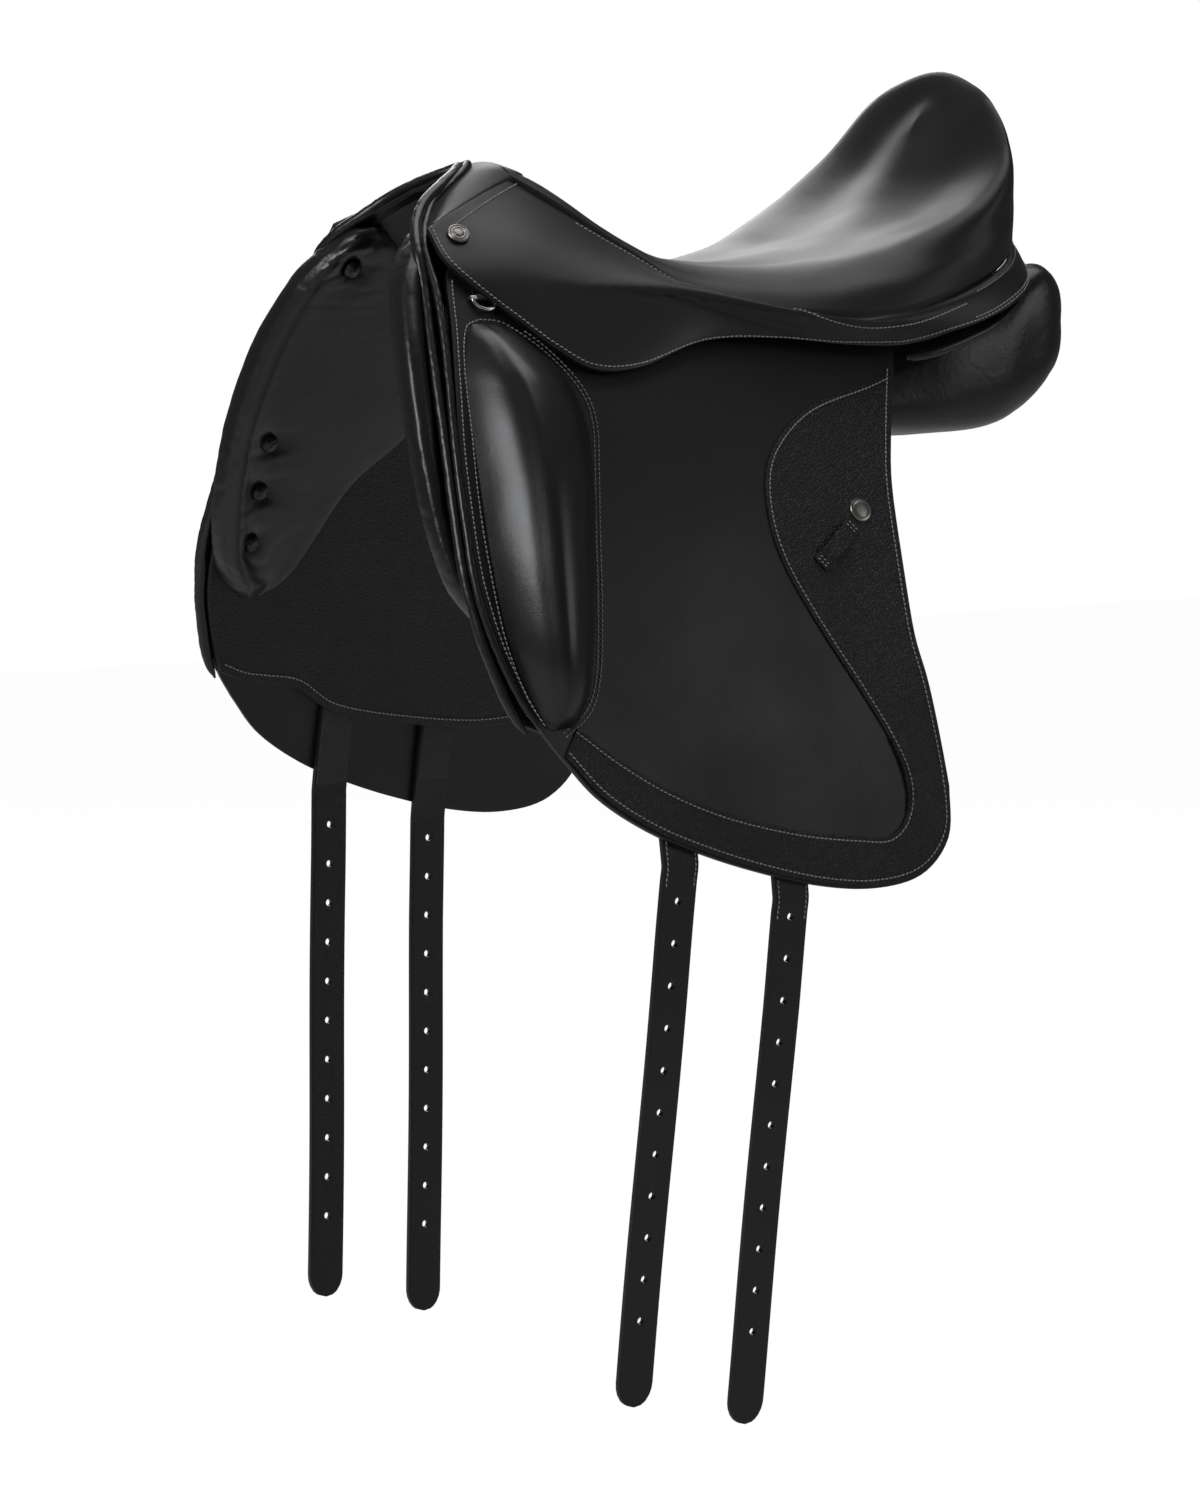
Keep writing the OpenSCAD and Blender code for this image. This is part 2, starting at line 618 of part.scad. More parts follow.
// Stud at the front corner of the skirt
stud_at = [0.34, 0.84];
stud_seat = 0.8;
module skirt_stud(side) {
    n = normal_at(1, stud_at[0], stud_at[1]);
    color(pewter) on_side(side) translate(shell_point(1, stud_at[0], stud_at[1], -stud_seat))
        rotate([0, acos(n.z), atan2(n.y, n.x)]) rotate_extrude()
        polygon([[0, 0], [stud_r, 0], [stud_r, 0.6 * stud_t], [0.86 * stud_r, stud_t], [0, stud_t]]);
}

// Outline of the fixed strip at the top of the flap, cut away round the stirrup bar
strip_gap = flap_t / 2 + 2 * bead_gap;
module flap_top(side) {
    color(leather) on_side(side) difference() {
        intersection() {
            leg_piece(0, flap_t, flap_outline);
            side_prism(above_bend(strip_gap));
        }
        translate([0, bar_front_y - 7, bar_z - bar_h / 2 - 2])
            cube([reach, bar_l + catch_l + 20, reach]);
    }
}

// Outer flap below the bend, with a round bead along its bend axis
module flap(side) {
    color(leather) on_side(side) {
        intersection() {
            leg_piece(0, flap_t, flap_outline);
            side_prism(below_bend());
        }
        rod(bend_point(bend_front_y + 2, flap_t / 2), bend_point(bend_rear_y - 2, flap_t / 2),
            flap_t / 2 + bead_gap);
    }
}

// Grained trim along the lower and rear edge of the flap, with the calf patch
trim_inset = 2;
module flap_trim(side) {
    low = smooth(concat(flap_low, flap_rear), 3);
    outer = square_off([for (k = [0 : len(low) - 2]) low[k]], trim_inset);
    color(grained_leather) on_side(side)
        leg_piece(-trim_t - glue, trim_t, concat(outer, smooth(trim_inner, 3)));
}

// Knee block on the front of the flap: a long asymmetric cushion with a ridge
block_cols = 12;
module knee_block(side) {
    rows = smooth(block_stations, 2);
    rings = [for (s = rows)
        let (base = leg_x(s[0]) + 0.3)
        concat([for (k = [0 : block_cols])
            let (t = k / block_cols, ridge = 0.46)
            let (q = t < ridge ? t / ridge : (1 - t) / (1 - ridge))
            let (dome = t < ridge ? pow(sin(90 * q), 0.9) : pow(sin(90 * q), 0.62))
            [base + block_h * s[3] * dome, s[1] + (s[2] - s[1]) * t, s[0]]])];
    color(gloss_leather) on_side(side) loft(rings);
}

// Keeper for the stirrup leather: a low bridge of strap with both ends sewn down
keeper_y = 20;
keeper_z = -57;
keeper_l = 42;
keeper_turn = 38;
keeper_foot = 7;
module keeper(side) {
    face = -trim_t - 2 * glue;
    color(grained_leather) on_side(side) on_leg(keeper_y, keeper_z, face) rotate([0, 0, keeper_turn]) {
        for (end = [-1, 1]) translate([-keeper_w / 2, end < 0 ? -keeper_l / 2 : keeper_l / 2 - keeper_foot, 0])
            cube([keeper_w, keeper_foot, keeper_gap]);
        translate([-keeper_w / 2, -keeper_l / 2, keeper_gap]) cube([keeper_w, keeper_l, keeper_t]);
    }
}

// Round badge above the keeper
badge_y = 45;
badge_z = -36;
module flap_badge(side) {
    color(pewter) on_side(side) on_leg(badge_y, badge_z, -trim_t - 3 * glue) rotate_extrude()
        polygon([[0, 0], [badge_r, 0], [badge_r, 0.5 * badge_t], [0.88 * badge_r, badge_t], [0, badge_t]]);
}

// Sweat flap between the billets and the horse
module sweat_flap(side) {
    color(grained_leather) on_side(side) leg_piece(sweat_depth, sweat_t,
        concat(smooth(concat(sweat_front, sweat_low, sweat_rear), 3), sweat_top));
}

// Pair of welts down the front edge, from the middle of the head
welt_sides = 8;
function welt_path(depth, back, last) = concat([for (p = welt_head) p + [0, back, -back / 3]],
    [for (p = square_off([for (k = [0 : last]) welt_line[k]], back)) [leg_x(p[1], depth), p[0], p[1]]]);
module welts(side) {
    outer = smooth(welt_path(sweat_depth - 2, 0, len(welt_line) - 1), 2);
    inner = smooth(welt_path(inner_welt_r, inner_welt_back, 6), 2);
    color(gloss_leather) on_side(side) {
        tube([for (k = [1 : len(outer) - 1]) outer[k]], welt_r, welt_sides);
        tube([for (k = [2 : len(inner) - 1]) inner[k]], inner_welt_r, welt_sides);
    }
}

// Webs that carry the billets from the tree, in front and behind the stirrup bar
web_depth = billet_depth + billet_t + 0.1;
web_low_z = -228;
rear_web_shift = 62;
module girth_webs(side) {
    h = billet_w / 2 - 1;
    f = front_billet_y;
    r = rear_billet_y;
    color(canvas) on_side(side) {
        leg_piece(web_depth, web_t, [[f - h, web_low_z], [f + h, web_low_z], [f + h, 112], [f - h, 120]]);
        leg_piece(web_depth, web_t, [[r - h, web_low_z - 6], [r + h, web_low_z - 6], [r + h, 20],
            [r + rear_web_shift + h, 74], [r + rear_web_shift - h, 76], [r - h, 34]]);
    }
}

// Upper billet leather, sewn on the webs under the flap
billet_top_z = -110;
module billet_tops(side) {
    h = billet_w / 2;
    gap = billet_t / 2 + 2 * bead_gap;
    color(leather) on_side(side) {
        for (b = [[front_billet_y, front_bend_z], [rear_billet_y, rear_bend_z]])
            leg_piece(billet_depth, billet_t, [[b[0] - h, b[1] + gap], [b[0] + h, b[1] + gap],
                [b[0] + h, billet_top_z], [b[0] - h, billet_top_z]]);
    }
}

// Hanging billet: a strap with a bead along its bend, a row of holes and a pointed tip
module billet(y, z, l, drop) {
    x = leg_x(z, billet_depth + billet_t / 2);
    h = billet_w / 2;
    color(leather) translate([x, y, z]) {
        rotate([90, 0, 0]) translate([0, 0, -h]) cylinder(r = billet_t / 2, h = billet_w);
        rotate([-billet_lean_front, billet_lean_in, 0]) translate([-billet_t / 2, 0, 0]) difference() {
            rotate([90, 0, 90]) linear_extrude(height = billet_t)
                polygon([[-h, 0], [-h, -l + billet_tip_l], [-0.86 * h, -l + 0.55 * billet_tip_l],
                    [-0.5 * h, -l + 0.18 * billet_tip_l], [0, -l], [0.5 * h, -l + 0.18 * billet_tip_l],
                    [0.86 * h, -l + 0.55 * billet_tip_l], [h, -l + billet_tip_l], [h, 0]]);
            for (k = [0 : hole_n - 1])
                translate([-1, 0, -drop - k * hole_pitch]) rotate([0, 90, 0])
                    cylinder(r = hole_r, h = billet_t + 2);
        }
    }
}
module front_billet(side) {
    on_side(side) billet(front_billet_y, front_bend_z, front_billet_l, front_hole_drop);
}
module rear_billet(side) {
    on_side(side) billet(rear_billet_y, rear_bend_z, rear_billet_l, rear_hole_drop);
}

// Front of the panel: a padded wing behind the sweat flap with a fat rolled front edge
panel_depth = 21.4;
module front_panel(side) {
    rings = [for (s = smooth(front_panel_stations, 2))
        let (z = s[0], front = s[1], long = s[2] - s[1], t = s[3])
        let (fat = min(22, long * 0.45, 6 + 2.2 * t))
        let (x = function (depth) leg_x(z, depth))
        [[x(panel_depth), front + 0.97 * long, z], [x(panel_depth - 0.5), front + 0.7 * long, z],
            [x(panel_depth), front + 1.25 * fat, z], [x(panel_depth - 3.5), front + 0.62 * fat, z],
            [x(panel_depth - 5), front + 0.3 * fat, z], [x(panel_depth - 2), front + 0.08 * fat, z],
            [x(panel_depth + 3), front, z], [x(panel_depth + 0.36 * fat), front + 0.1 * fat, z],
            [x(panel_depth + 0.68 * fat), front + 0.4 * fat, z],
            [x(panel_depth + t + 0.1 * fat), front + 1.15 * fat, z],
            [x(panel_depth + t), front + 0.7 * long, z], [x(panel_depth + 0.7 * t), front + 0.95 * long, z],
            [x(panel_depth + 0.35 * t), front + long, z]]];
    color(gloss_leather) on_side(side) loft(rings);
}

// Three leather buttons and a dimple button that tuft the inside of the front panel
button_r = 5;
button_h = 2.6;
button_places = [[-196, 108, 11.6], [-240, -22, 10.4], [-239, -53, 10.8], [-237, -86, 13.4]];
module tuft_buttons(side) {
    color(leather) on_side(side) for (p = button_places)
        on_leg(p[0], p[1], panel_depth + p[2] + button_h) intersection() {
            translate([0, 0, button_r]) sphere(r = button_r);
            translate([-button_r, -button_r, 0]) cube([2 * button_r, 2 * button_r, button_h]);
        }
}

// Wool-filled panel that rests on the horse
panel_points = 20;
module panel(side) {
    rings = [for (s = smooth(panel_stations, 2))
        [for (k = [0 : panel_points - 1])
            let (a = 360 * k / panel_points, c = cos(a), n = sin(a))
            let (p = 0.62, q = sign(c) * pow(abs(c), p), w = sign(n) * pow(abs(n), p))
            let (u = (1 + q) / 2, v = (1 + w) / 2)
            let (top = s[1] * (1 - u) + s[2] * u, low = s[4] * (1 - u) + s[3] * u)
            let (m = low * (1 - v) + top * v)
            [m.x, s[0], m.y]]];
    color(leather) on_side(side) mirror([0, 1, 0]) loft([for (r = rings) [for (p = r) [p.x, -p.y, p.z]]]);
}

// Piped rim where the rear of the panel meets its gusset
rim_r = 3.5;
module panel_rim(side) {
    color(gloss_leather) on_side(side) tube(smooth(rim_path, 3), rim_r, 8);
}

// Stirrup bar: a plate on the tree, a foot in front and the blade that the stirrup leather hangs on
module stirrup_bar(side) {
    color(bright_steel) on_side(side) on_leg(bar_front_y, bar_z, bar_plate_depth + bar_plate_t)
        difference() {
            union() {
                translate([-bar_h / 2 - 6, 0, 0]) cube([bar_h + 6, bar_l, bar_plate_t]);
                translate([-bar_h / 2, 0, 0]) cube([bar_h, 6, bar_plate_t + bar_slot + bar_t]);
                translate([-bar_h / 2, 0, bar_plate_t + bar_slot]) cube([bar_h, bar_l - 6, bar_t]);
                translate([0, bar_l - 6, bar_plate_t + bar_slot]) cylinder(r = bar_h / 2, h = bar_t);
            }
            translate([-bar_h, bar_l - 13, bar_plate_t + bar_slot + (bar_t - catch_t) / 2 - 0.1])
                cube([2 * bar_h, bar_l, catch_t + 0.2]);
        }
    color(bright_steel) on_side(side) on_leg(bar_front_y, bar_z, bar_plate_depth + bar_plate_t)
        translate([0, bar_l - 6, bar_plate_t + bar_slot + 0.5]) cylinder(r = pin_r, h = bar_t - 1);
}

// Safety catch in the end of the blade
module bar_catch(side) {
    color(pewter) on_side(side) on_leg(bar_front_y, bar_z, bar_plate_depth + bar_plate_t)
        translate([0, bar_l - 6, bar_plate_t + bar_slot + (bar_t - catch_t) / 2]) difference() {
            union() {
                cylinder(r = 4.5, h = catch_t);
                translate([-4, 0, 0]) cube([8, catch_l - 4, catch_t]);
                translate([0, catch_l - 4, 0]) cylinder(r = 4, h = catch_t);
            }
            translate([0, 0, -1]) cylinder(r = pin_r + pin_gap, h = catch_t + 2);
        }
}

// Saddle ring hanging in its chape under the front of the skirt: a round bar and a half-round bow
chape_wall = 0.9;
ring_lift = ring_bar_r + pin_gap + chape_wall + glue;
module saddle_ring(side) {
    color(bright_steel) on_side(side) on_leg(ring_y, ring_z, -ring_lift) {
        rotate([90, 0, 0]) translate([0, 0, -ring_r - ring_bar_r])
            cylinder(r = ring_bar_r, h = 2 * (ring_r + ring_bar_r));
        rotate([0, 0, -90]) rotate_extrude(angle = 180) translate([ring_r, 0]) circle(r = ring_wire_r);
    }
}

// Leather loop that holds the ring, sewn under the skirt
chape_w = 11;
chape_l = 13;
module ring_chape(side) {
    bore = ring_bar_r + pin_gap;
    color(leather) on_side(side) on_leg(ring_y, ring_z, -ring_lift) difference() {
        union() {
            rotate([90, 0, 0]) translate([0, 0, -chape_w / 2]) cylinder(r = bore + chape_wall, h = chape_w);
            translate([-chape_l, -chape_w / 2, -bore - chape_wall]) cube([chape_l, chape_w, chape_wall]);
        }
        rotate([90, 0, 0]) translate([0, 0, -chape_w]) cylinder(r = bore, h = 2 * chape_w);
    }
}

tree();
head_plate();
spring_steels();
tree_rivets();
seat_webs();
seat_foam();
seat_cover();
pommel_cover();
gullet_lining();
skirt_top(1);  // skirt_top_left
skirt_top(-1);  // skirt_top_right
skirt(1);  // skirt_left
skirt(-1);  // skirt_right
skirt_stud(1);  // skirt_stud_left
skirt_stud(-1);  // skirt_stud_right
stirrup_bar(1);  // stirrup_bar_left
stirrup_bar(-1);  // stirrup_bar_right
bar_catch(1);  // bar_catch_left
bar_catch(-1);  // bar_catch_right
flap_top(1);  // flap_top_left
flap_top(-1);  // flap_top_right
flap(1);  // flap_left
flap(-1);  // flap_right
flap_trim(1);  // flap_trim_left
flap_trim(-1);  // flap_trim_right
knee_block(1);  // knee_block_left
knee_block(-1);  // knee_block_right
keeper(1);  // keeper_left
keeper(-1);  // keeper_right
flap_badge(1);  // flap_badge_left
flap_badge(-1);  // flap_badge_right
sweat_flap(1);  // sweat_flap_left
sweat_flap(-1);  // sweat_flap_right
welts(1);  // welts_left
welts(-1);  // welts_right
girth_webs(1);  // girth_webs_left
girth_webs(-1);  // girth_webs_right
billet_tops(1);  // billet_tops_left
billet_tops(-1);  // billet_tops_right
front_billet(1);  // front_billet_left
front_billet(-1);  // front_billet_right
rear_billet(1);  // rear_billet_left
rear_billet(-1);  // rear_billet_right
front_panel(1);  // front_panel_left
front_panel(-1);  // front_panel_right
tuft_buttons(1);  // tuft_buttons_left
tuft_buttons(-1);  // tuft_buttons_right
panel(1);  // panel_left
panel(-1);  // panel_right
panel_rim(1);  // panel_rim_left
panel_rim(-1);  // panel_rim_right
saddle_ring(1);  // saddle_ring_left
saddle_ring(-1);  // saddle_ring_right
ring_chape(1);  // ring_chape_left
ring_chape(-1);  // ring_chape_right
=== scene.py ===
"""Dressage saddle: leathers, paddings, stitches and fittings round the solid model."""
import math

import bmesh
import bpy
from bpy.props import FloatProperty, FloatVectorProperty, PointerProperty
from mathutils import Matrix, Vector, noise


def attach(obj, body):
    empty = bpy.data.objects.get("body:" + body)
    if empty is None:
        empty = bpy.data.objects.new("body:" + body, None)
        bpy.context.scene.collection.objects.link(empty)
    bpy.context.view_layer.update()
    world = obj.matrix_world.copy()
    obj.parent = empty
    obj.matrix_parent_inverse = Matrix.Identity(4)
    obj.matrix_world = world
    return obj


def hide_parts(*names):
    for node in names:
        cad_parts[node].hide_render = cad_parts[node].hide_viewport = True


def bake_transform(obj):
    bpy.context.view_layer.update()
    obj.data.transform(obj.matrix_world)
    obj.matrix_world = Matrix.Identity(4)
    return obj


bl_info = {
    "name": "Dressage Saddle",
    "version": (1, 0, 0),
    "blender": (4, 5, 0),
    "location": "View3D > Sidebar > Saddle",
    "description": "Builds the leathers, paddings, stitches and fittings of a dressage saddle",
    "category": "Add Mesh",
}

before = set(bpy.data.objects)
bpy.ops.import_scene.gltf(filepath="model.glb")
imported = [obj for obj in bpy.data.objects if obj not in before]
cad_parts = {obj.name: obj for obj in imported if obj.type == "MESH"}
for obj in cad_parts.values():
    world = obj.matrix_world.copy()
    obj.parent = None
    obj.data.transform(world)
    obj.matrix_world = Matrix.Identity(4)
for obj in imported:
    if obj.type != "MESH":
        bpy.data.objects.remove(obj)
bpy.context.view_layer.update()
MM = 0.001
SIDES = (("left", 1), ("right", -1))

# Curve that the flaps follow down the rider's leg: centre across, centre height and radius
LEG_X, LEG_Z, LEG_R = -666.0, -396.0, 906.0

# Seat: middle, rim of the dish and seam of the seat leather, then how far dish and wall swell
SPINE = [(0, -136, 190), (0, -109, 178), (0, -64, 147), (0, -24, 129), (0, 36, 122), (0, 92, 127),
         (0, 130, 137), (0, 160, 153), (0, 184, 175), (0, 200, 198), (0, 210, 216)]
RIM = [(16, -136, 187), (24, -109, 174), (36, -64, 142), (52, -24, 124), (74, 36, 119), (95, 100, 128),
       (109, 142, 144), (115, 180, 164), (104, 210, 193), (64, 224, 232), (0, 231, 249)]
SEAM = [(26, -136, 180), (42, -109, 161), (62, -64, 131), (92, -24, 101), (124, 36, 90), (135, 100, 91),
        (130, 150, 101), (120, 192, 116), (98, 220, 130), (54, 240, 146), (0, 247, 152)]
DISH = [0, 0, 0, 0, 0, 2, 5, 8, 10, 9, 4]
SWELL = [1, 2, 3, 5, 8, 9, 9, 6, 3, 3, 3]
BAND = [(60, -221, 150), (90, -203, 116), (102.6, -150, 102.2), (108.7, -70, 94.8), (121, 26, 76),
        (130, 98, 69), (134, 142, 77), (131, 188, 90), (117, 220, 107), (62, 247, 124), (0, 257, 130)]
BAND_SWELL = [3, 8, 11, 16, 11, 3, 2, 2, 2, 2, 2]
# Lower edge of skirt and band at every half station
HEM = [(60, -221, 150), (79, -219, 130), (92, -203, 111), (106, -179, 90), (118, -158, 72),
       (125, -134, 59.5), (124.5, -98, 60.5), (117, -45, 75), (121, 8, 76), (126, 62, 70.5), (130, 98, 69),
       (133, 122, 72), (134, 142, 77), (133.5, 165, 82.5), (131, 188, 90), (126, 206, 98), (117, 220, 107),
       (94, 236, 117), (62, 247, 124), (32, 254.5, 128.5), (0, 257, 130)]
SKIRT_END = 4.0

# Outlines seen from the near side: place along the saddle and height
WELT = [(-232, 110), (-240, 78), (-246, 48), (-252, 11), (-257, -25), (-260, -64), (-258.5, -86),
        (-255, -109), (-244, -146), (-235, -163)]
WELT_HEAD = [(0, -160.5, 187), (9, -171.5, 182), (18.5, -187.8, 174), (25.7, -202.4, 165),
             (35.6, -213.9, 155), (48.5, -223, 145), (62, -229, 132)]
PIPING = [(-229, 108), (-237, 71), (-250, 12), (-255, -25), (-258, -69), (-253, -103), (-242, -136),
          (-230, -159)]
PIPING_HEAD = [(0, -153.6, 189.5), (8, -162.5, 184.5), (16.5, -178.5, 175.8), (24, -194.5, 166),
               (35, -206, 156), (49, -216.5, 146), (64, -224, 132)]
FLAP_FRONT = [(-194, 132), (-216, 123), (-228, 86), (-239, 48), (-248, 12), (-253.5, -25), (-256, -55),
              (-255.5, -76), (-250.5, -108), (-240, -138), (-229, -160), (-216, -178)]
BLOCK_ROW = [(-206, 92), (-218, 86), (-228, 61), (-236, 22), (-242.5, -13), (-246, -50), (-245.5, -99),
             (-237.5, -136), (-226, -158)]
BLOCK_REAR_ROW = [(-206, 92), (-188, 89), (-165, 72), (-147, 48), (-144, 26), (-152, -4), (-162, -41),
                  (-173, -90), (-182, -127), (-193, -149), (-214, -163)]
FLAP_LOW = [(-216, -178), (-192, -205), (-157, -228), (-118, -245), (-77, -259), (-31, -271), (12, -276),
            (50, -270), (74, -248), (79, -215)]
FLAP_REAR = [(74, -150), (69, -108), (75, -31), (88, 14), (109, 64)]
FLAP_TOP = [(-194, 132), (-100, 114), (-40, 97), (-10, 91), (36, 82), (60, 80), (107, 76)]
TRIM_INNER = [(96, 50), (76, 44), (29, 32), (-2, 14), (-21, -8), (-28, -39), (-23, -71), (-5, -110),
              (18, -150), (36, -183), (45, -209), (41, -231), (27, -243), (4, -242), (-43, -235),
              (-96, -221), (-139, -203), (-174, -182), (-203, -160)]
SWEAT_FRONT = [(-192, 138), (-216, 105), (-233, 60), (-245, 15), (-254, -38), (-254.5, -92), (-245.5, -130),
               (-234, -158)]
SWEAT_LOW = [(-234, -158), (-216, -165), (-198, -168), (-172, -173), (-140, -192), (-83, -204), (-16, -211),
             (28, -203), (50, -170)]
SWEAT_REAR = [(80, 58), (70, 20), (56, -30), (50, -100), (50, -170)]
SWEAT_TOP = [(-192, 138), (-160, 136), (-122, 116), (-108, 84), (-20, 76), (80, 58)]
BLOCK = [(90, -211, -188, 0.05), (81, -219, -179, 0.42), (64, -227, -162, 0.72), (48, -231, -152, 0.86),
         (26, -235, -149, 0.95), (-12, -240, -156, 1), (-56, -244, -168, 0.96), (-100, -243.5, -179, 0.84),
         (-132, -237, -188, 0.62), (-150, -229.5, -196, 0.34), (-160, -223, -205, 0.05)]
FRONT_PANEL = [(148, -217, -205, 3), (145, -222, -199, 6), (139, -228, -191, 8), (130, -237, -181, 10),
               (119, -245, -170, 10), (104, -251.5, -148, 10), (88, -256.5, -128, 10), (66, -262, -119, 10),
               (26, -267.5, -119, 10), (0, -268.5, -132, 9), (-26, -268, -160, 8), (-54, -265, -177, 8),
               (-80, -257.5, -190, 7), (-97, -245, -203, 6), (-105, -234, -216, 3)]
PANEL = [(-116, (40, 96), (70, 92), (92, 50), (62, 40)), (-106, (34, 102), (74, 100), (104, 34), (54, 22)),
         (-64, (33, 102), (78, 98), (112, 20), (50, 7)), (-24, (33, 82), (84, 82), (118, 12), (46, 1)),
         (36, (33, 75), (92, 74), (122, 12), (42, -0.5)), (100, (34, 76), (96, 75), (122, 12), (40, -0.5)),
         (150, (35, 82), (114, 84), (122, 9), (41, 2)), (195, (36, 100), (117, 98), (121, 10), (44, 7)),
         (224, (40, 110), (116, 119), (116, 19), (48, 19)),
         (243, (46, 112), (113, 124), (114, 34), (54, 36)),
         (256, (54, 104), (107, 113), (107, 48), (58, 50)), (263, (66, 90), (94, 96), (94, 66), (68, 66))]
RIM_PATH = [(123, 113, 60.5), (127.1, 132, 63), (127, 160, 71), (123, 190, 82), (111.3, 217.3, 97),
            (87.5, 235.2, 108), (61.8, 243.2, 114)]
# Lower edge of the facing in front of the head, then places of the tufting buttons
FACING_LOW = [(0, -147, 151), (20, -149, 148.5), (37, -158, 140), (47, -176, 126), (55, -193, 112),
              (64, -206, 98), (72, -212, 88)]
BUTTONS = [(-217, 119), (-240, -22), (-239, -53), (-237, -86)]
PANEL_DEPTH = 21.4
# How far the roll lies inside the line of the panel, at even steps from its top down
ROLL_TOP, ROLL_LENGTH = 148.0, 253.0
ROLL_SHIFT = [-4, -4, -4, -4, -2, 0, 3, 6, 8, 8, 7]
# Bend of the flap: place along the saddle and height of its front and rear end
BEND = ((-217.0, 97.0), (106.0, 67.0))
BILLETS = (("front", -133.0, -250.0, 356.0, 24.0), ("rear", -50.0, -277.0, 350.0, 13.0))
# How far the billets hang in toward the horse and forward
LEAN_IN, LEAN_FRONT = math.radians(4.0), math.radians(3.2)
# Groove where seat leather and skirt meet, and how far the seat leather tucks into it
GROOVE_DEPTH, GROOVE_WIDTH, SEAT_TUCK = 2.2, 2.6, 2.6
# Filling under the seat leather: its distance from the leather's face and how far it reaches to the seam
FILLING_GAP, FILLING_REACH = 2.3, 0.955
# Depths below the flap's outer face at which each layer's outer face lies
TRIM_DEPTH, BILLET_DEPTH, WEB_DEPTH, SWEAT_DEPTH = -1.25, 5.0, 9.1, 11.0
# Distances of stitch rows from hem, flap edge, border edges and sweat flap edge
HEM_ROW, FLAP_ROW, TRIM_ROW, TRIM_INNER_ROW, SWEAT_ROW = 3.2, 3.4, 3.4, 3.0, 5.0
# Billet holes: count, pitch and radius
HOLES, HOLE_PITCH, HOLE_RADIUS = 11, 27.5, 2.5
# Lamps: name, place, aim, size, power and colour
LAMPS = (("key", (0.4, -2.7, 1.4), (0.1, 0, 0), (1.3, 1.3), 38, (0.97, 0.985, 1)),
         ("top", (-0.3, 0.5, 2.7), (0, 0, 0), (2.4, 2.0), 32, (0.98, 0.99, 1)),
         ("rim", (-2.3, 0.9, 1.3), (0, 0, 0), (1.2, 1.6), 26, (1, 1, 1)),
         ("side", (2.6, 2.2, 0.9), (0.15, 0, -0.1), (1.2, 1.6), 9, (1, 0.99, 0.97)))
# Camera: turn and height in degrees, distance, and focal length as a share of the picture's height
CAMERA_TURN, CAMERA_HEIGHT, CAMERA_DISTANCE, CAMERA_FOCUS = 57.0, 6.84, 3.78, 5600.0 / 1500.0
CAMERA_TARGET = (0.0, -0.050, -0.205)


# ---------------------------------------------------------------- settings

class SaddleSizes(bpy.types.PropertyGroup):
    """Sizes of the leatherwork that a user may want to change"""
    leather: FloatProperty(name="Flap leather", description="Thickness of the flaps", default=0.004,
                           unit="LENGTH")
    skirt: FloatProperty(name="Skirt leather", description="Thickness of the skirts", default=0.0035,
                         unit="LENGTH")
    stitch: FloatProperty(name="Stitch pitch", description="Distance from stitch to stitch", default=0.0033,
                          unit="LENGTH")
    thread: FloatProperty(name="Thread", description="Radius of the sewing thread", default=0.00045,
                          unit="LENGTH")
    block: FloatProperty(name="Knee block", description="Height of the knee blocks", default=0.042,
                         unit="LENGTH")
    wrinkle: FloatProperty(name="Wrinkles", description="Height of the creases in padded leather",
                           default=0.0007, unit="LENGTH")


class SaddleLooks(bpy.types.PropertyGroup):
    """Colours of the saddle's leathers, thread and fittings"""
    leather: FloatVectorProperty(name="Leather", description="Colour of the leather", subtype="COLOR",
                                 default=(0.0065, 0.0064, 0.0066), size=3)
    thread: FloatVectorProperty(name="Thread", description="Colour of the sewing thread", subtype="COLOR",
                                default=(0.36, 0.36, 0.37), size=3)
    pewter: FloatVectorProperty(name="Stud metal", description="Colour of studs and badges",
                                subtype="COLOR", default=(0.30, 0.285, 0.265), size=3)


def sizes():
    return bpy.context.scene.saddle_sizes


def looks():
    return bpy.context.scene.saddle_looks


# ---------------------------------------------------------------- curves

def on_curve(points, t, round_end=False):
    """Point of a smooth curve through the entries, at place t counted in entries."""
    if isinstance(points[0], (tuple, list)):
        points = vectors(points)
    n = len(points) - 1
    i = max(0, min(int(math.floor(t)), n - 1))
    f = t - i
    b, c = points[i], points[i + 1]
    past = 2 * c - b
    if round_end:
        past = Vector((-b.x, b.y, b.z)) if isinstance(b, Vector) else b
    a = points[i - 1] if i > 0 else 2 * b - c
    d = points[i + 2] if i < n - 1 else past
    return 0.5 * (2 * b + (c - a) * f + (2 * a - 5 * b + 4 * c - d) * f * f
                  + (3 * b - a - 3 * c + d) * f ** 3)


def vectors(points):
    return [Vector(p) for p in points]


def smooth(points, k):
    points = vectors(points)
    return [on_curve(points, i / k) for i in range(k * (len(points) - 1) + 1)]


def even(points, n):
    """The same line as n + 1 points at equal distances."""
    points = [Vector(p) for p in points]
    sums = [0.0]
    for p, q in zip(points, points[1:]):
        sums.append(sums[-1] + (q - p).length)
    out, j = [], 0
    for i in range(n + 1):
        want = sums[-1] * i / n
        while j < len(sums) - 2 and sums[j + 1] < want:
            j += 1
        span = sums[j + 1] - sums[j]
        out.append(points[j].lerp(points[j + 1], (want - sums[j]) / span if span else 0.0))
    return out


def square_off(points, by):
    """The line moved square to itself, toward the rear where it runs down."""
    points = vectors(points)
    out = []
    for k, p in enumerate(points):
        t = (points[min(k + 1, len(points) - 1)] - points[max(k - 1, 0)]).normalized()
        out.append(p + by * Vector((-t.y, t.x)))
    return out


def leg_x(z, depth=0.0):
    return LEG_X + math.sqrt((LEG_R - depth) ** 2 - (z - LEG_Z) ** 2)


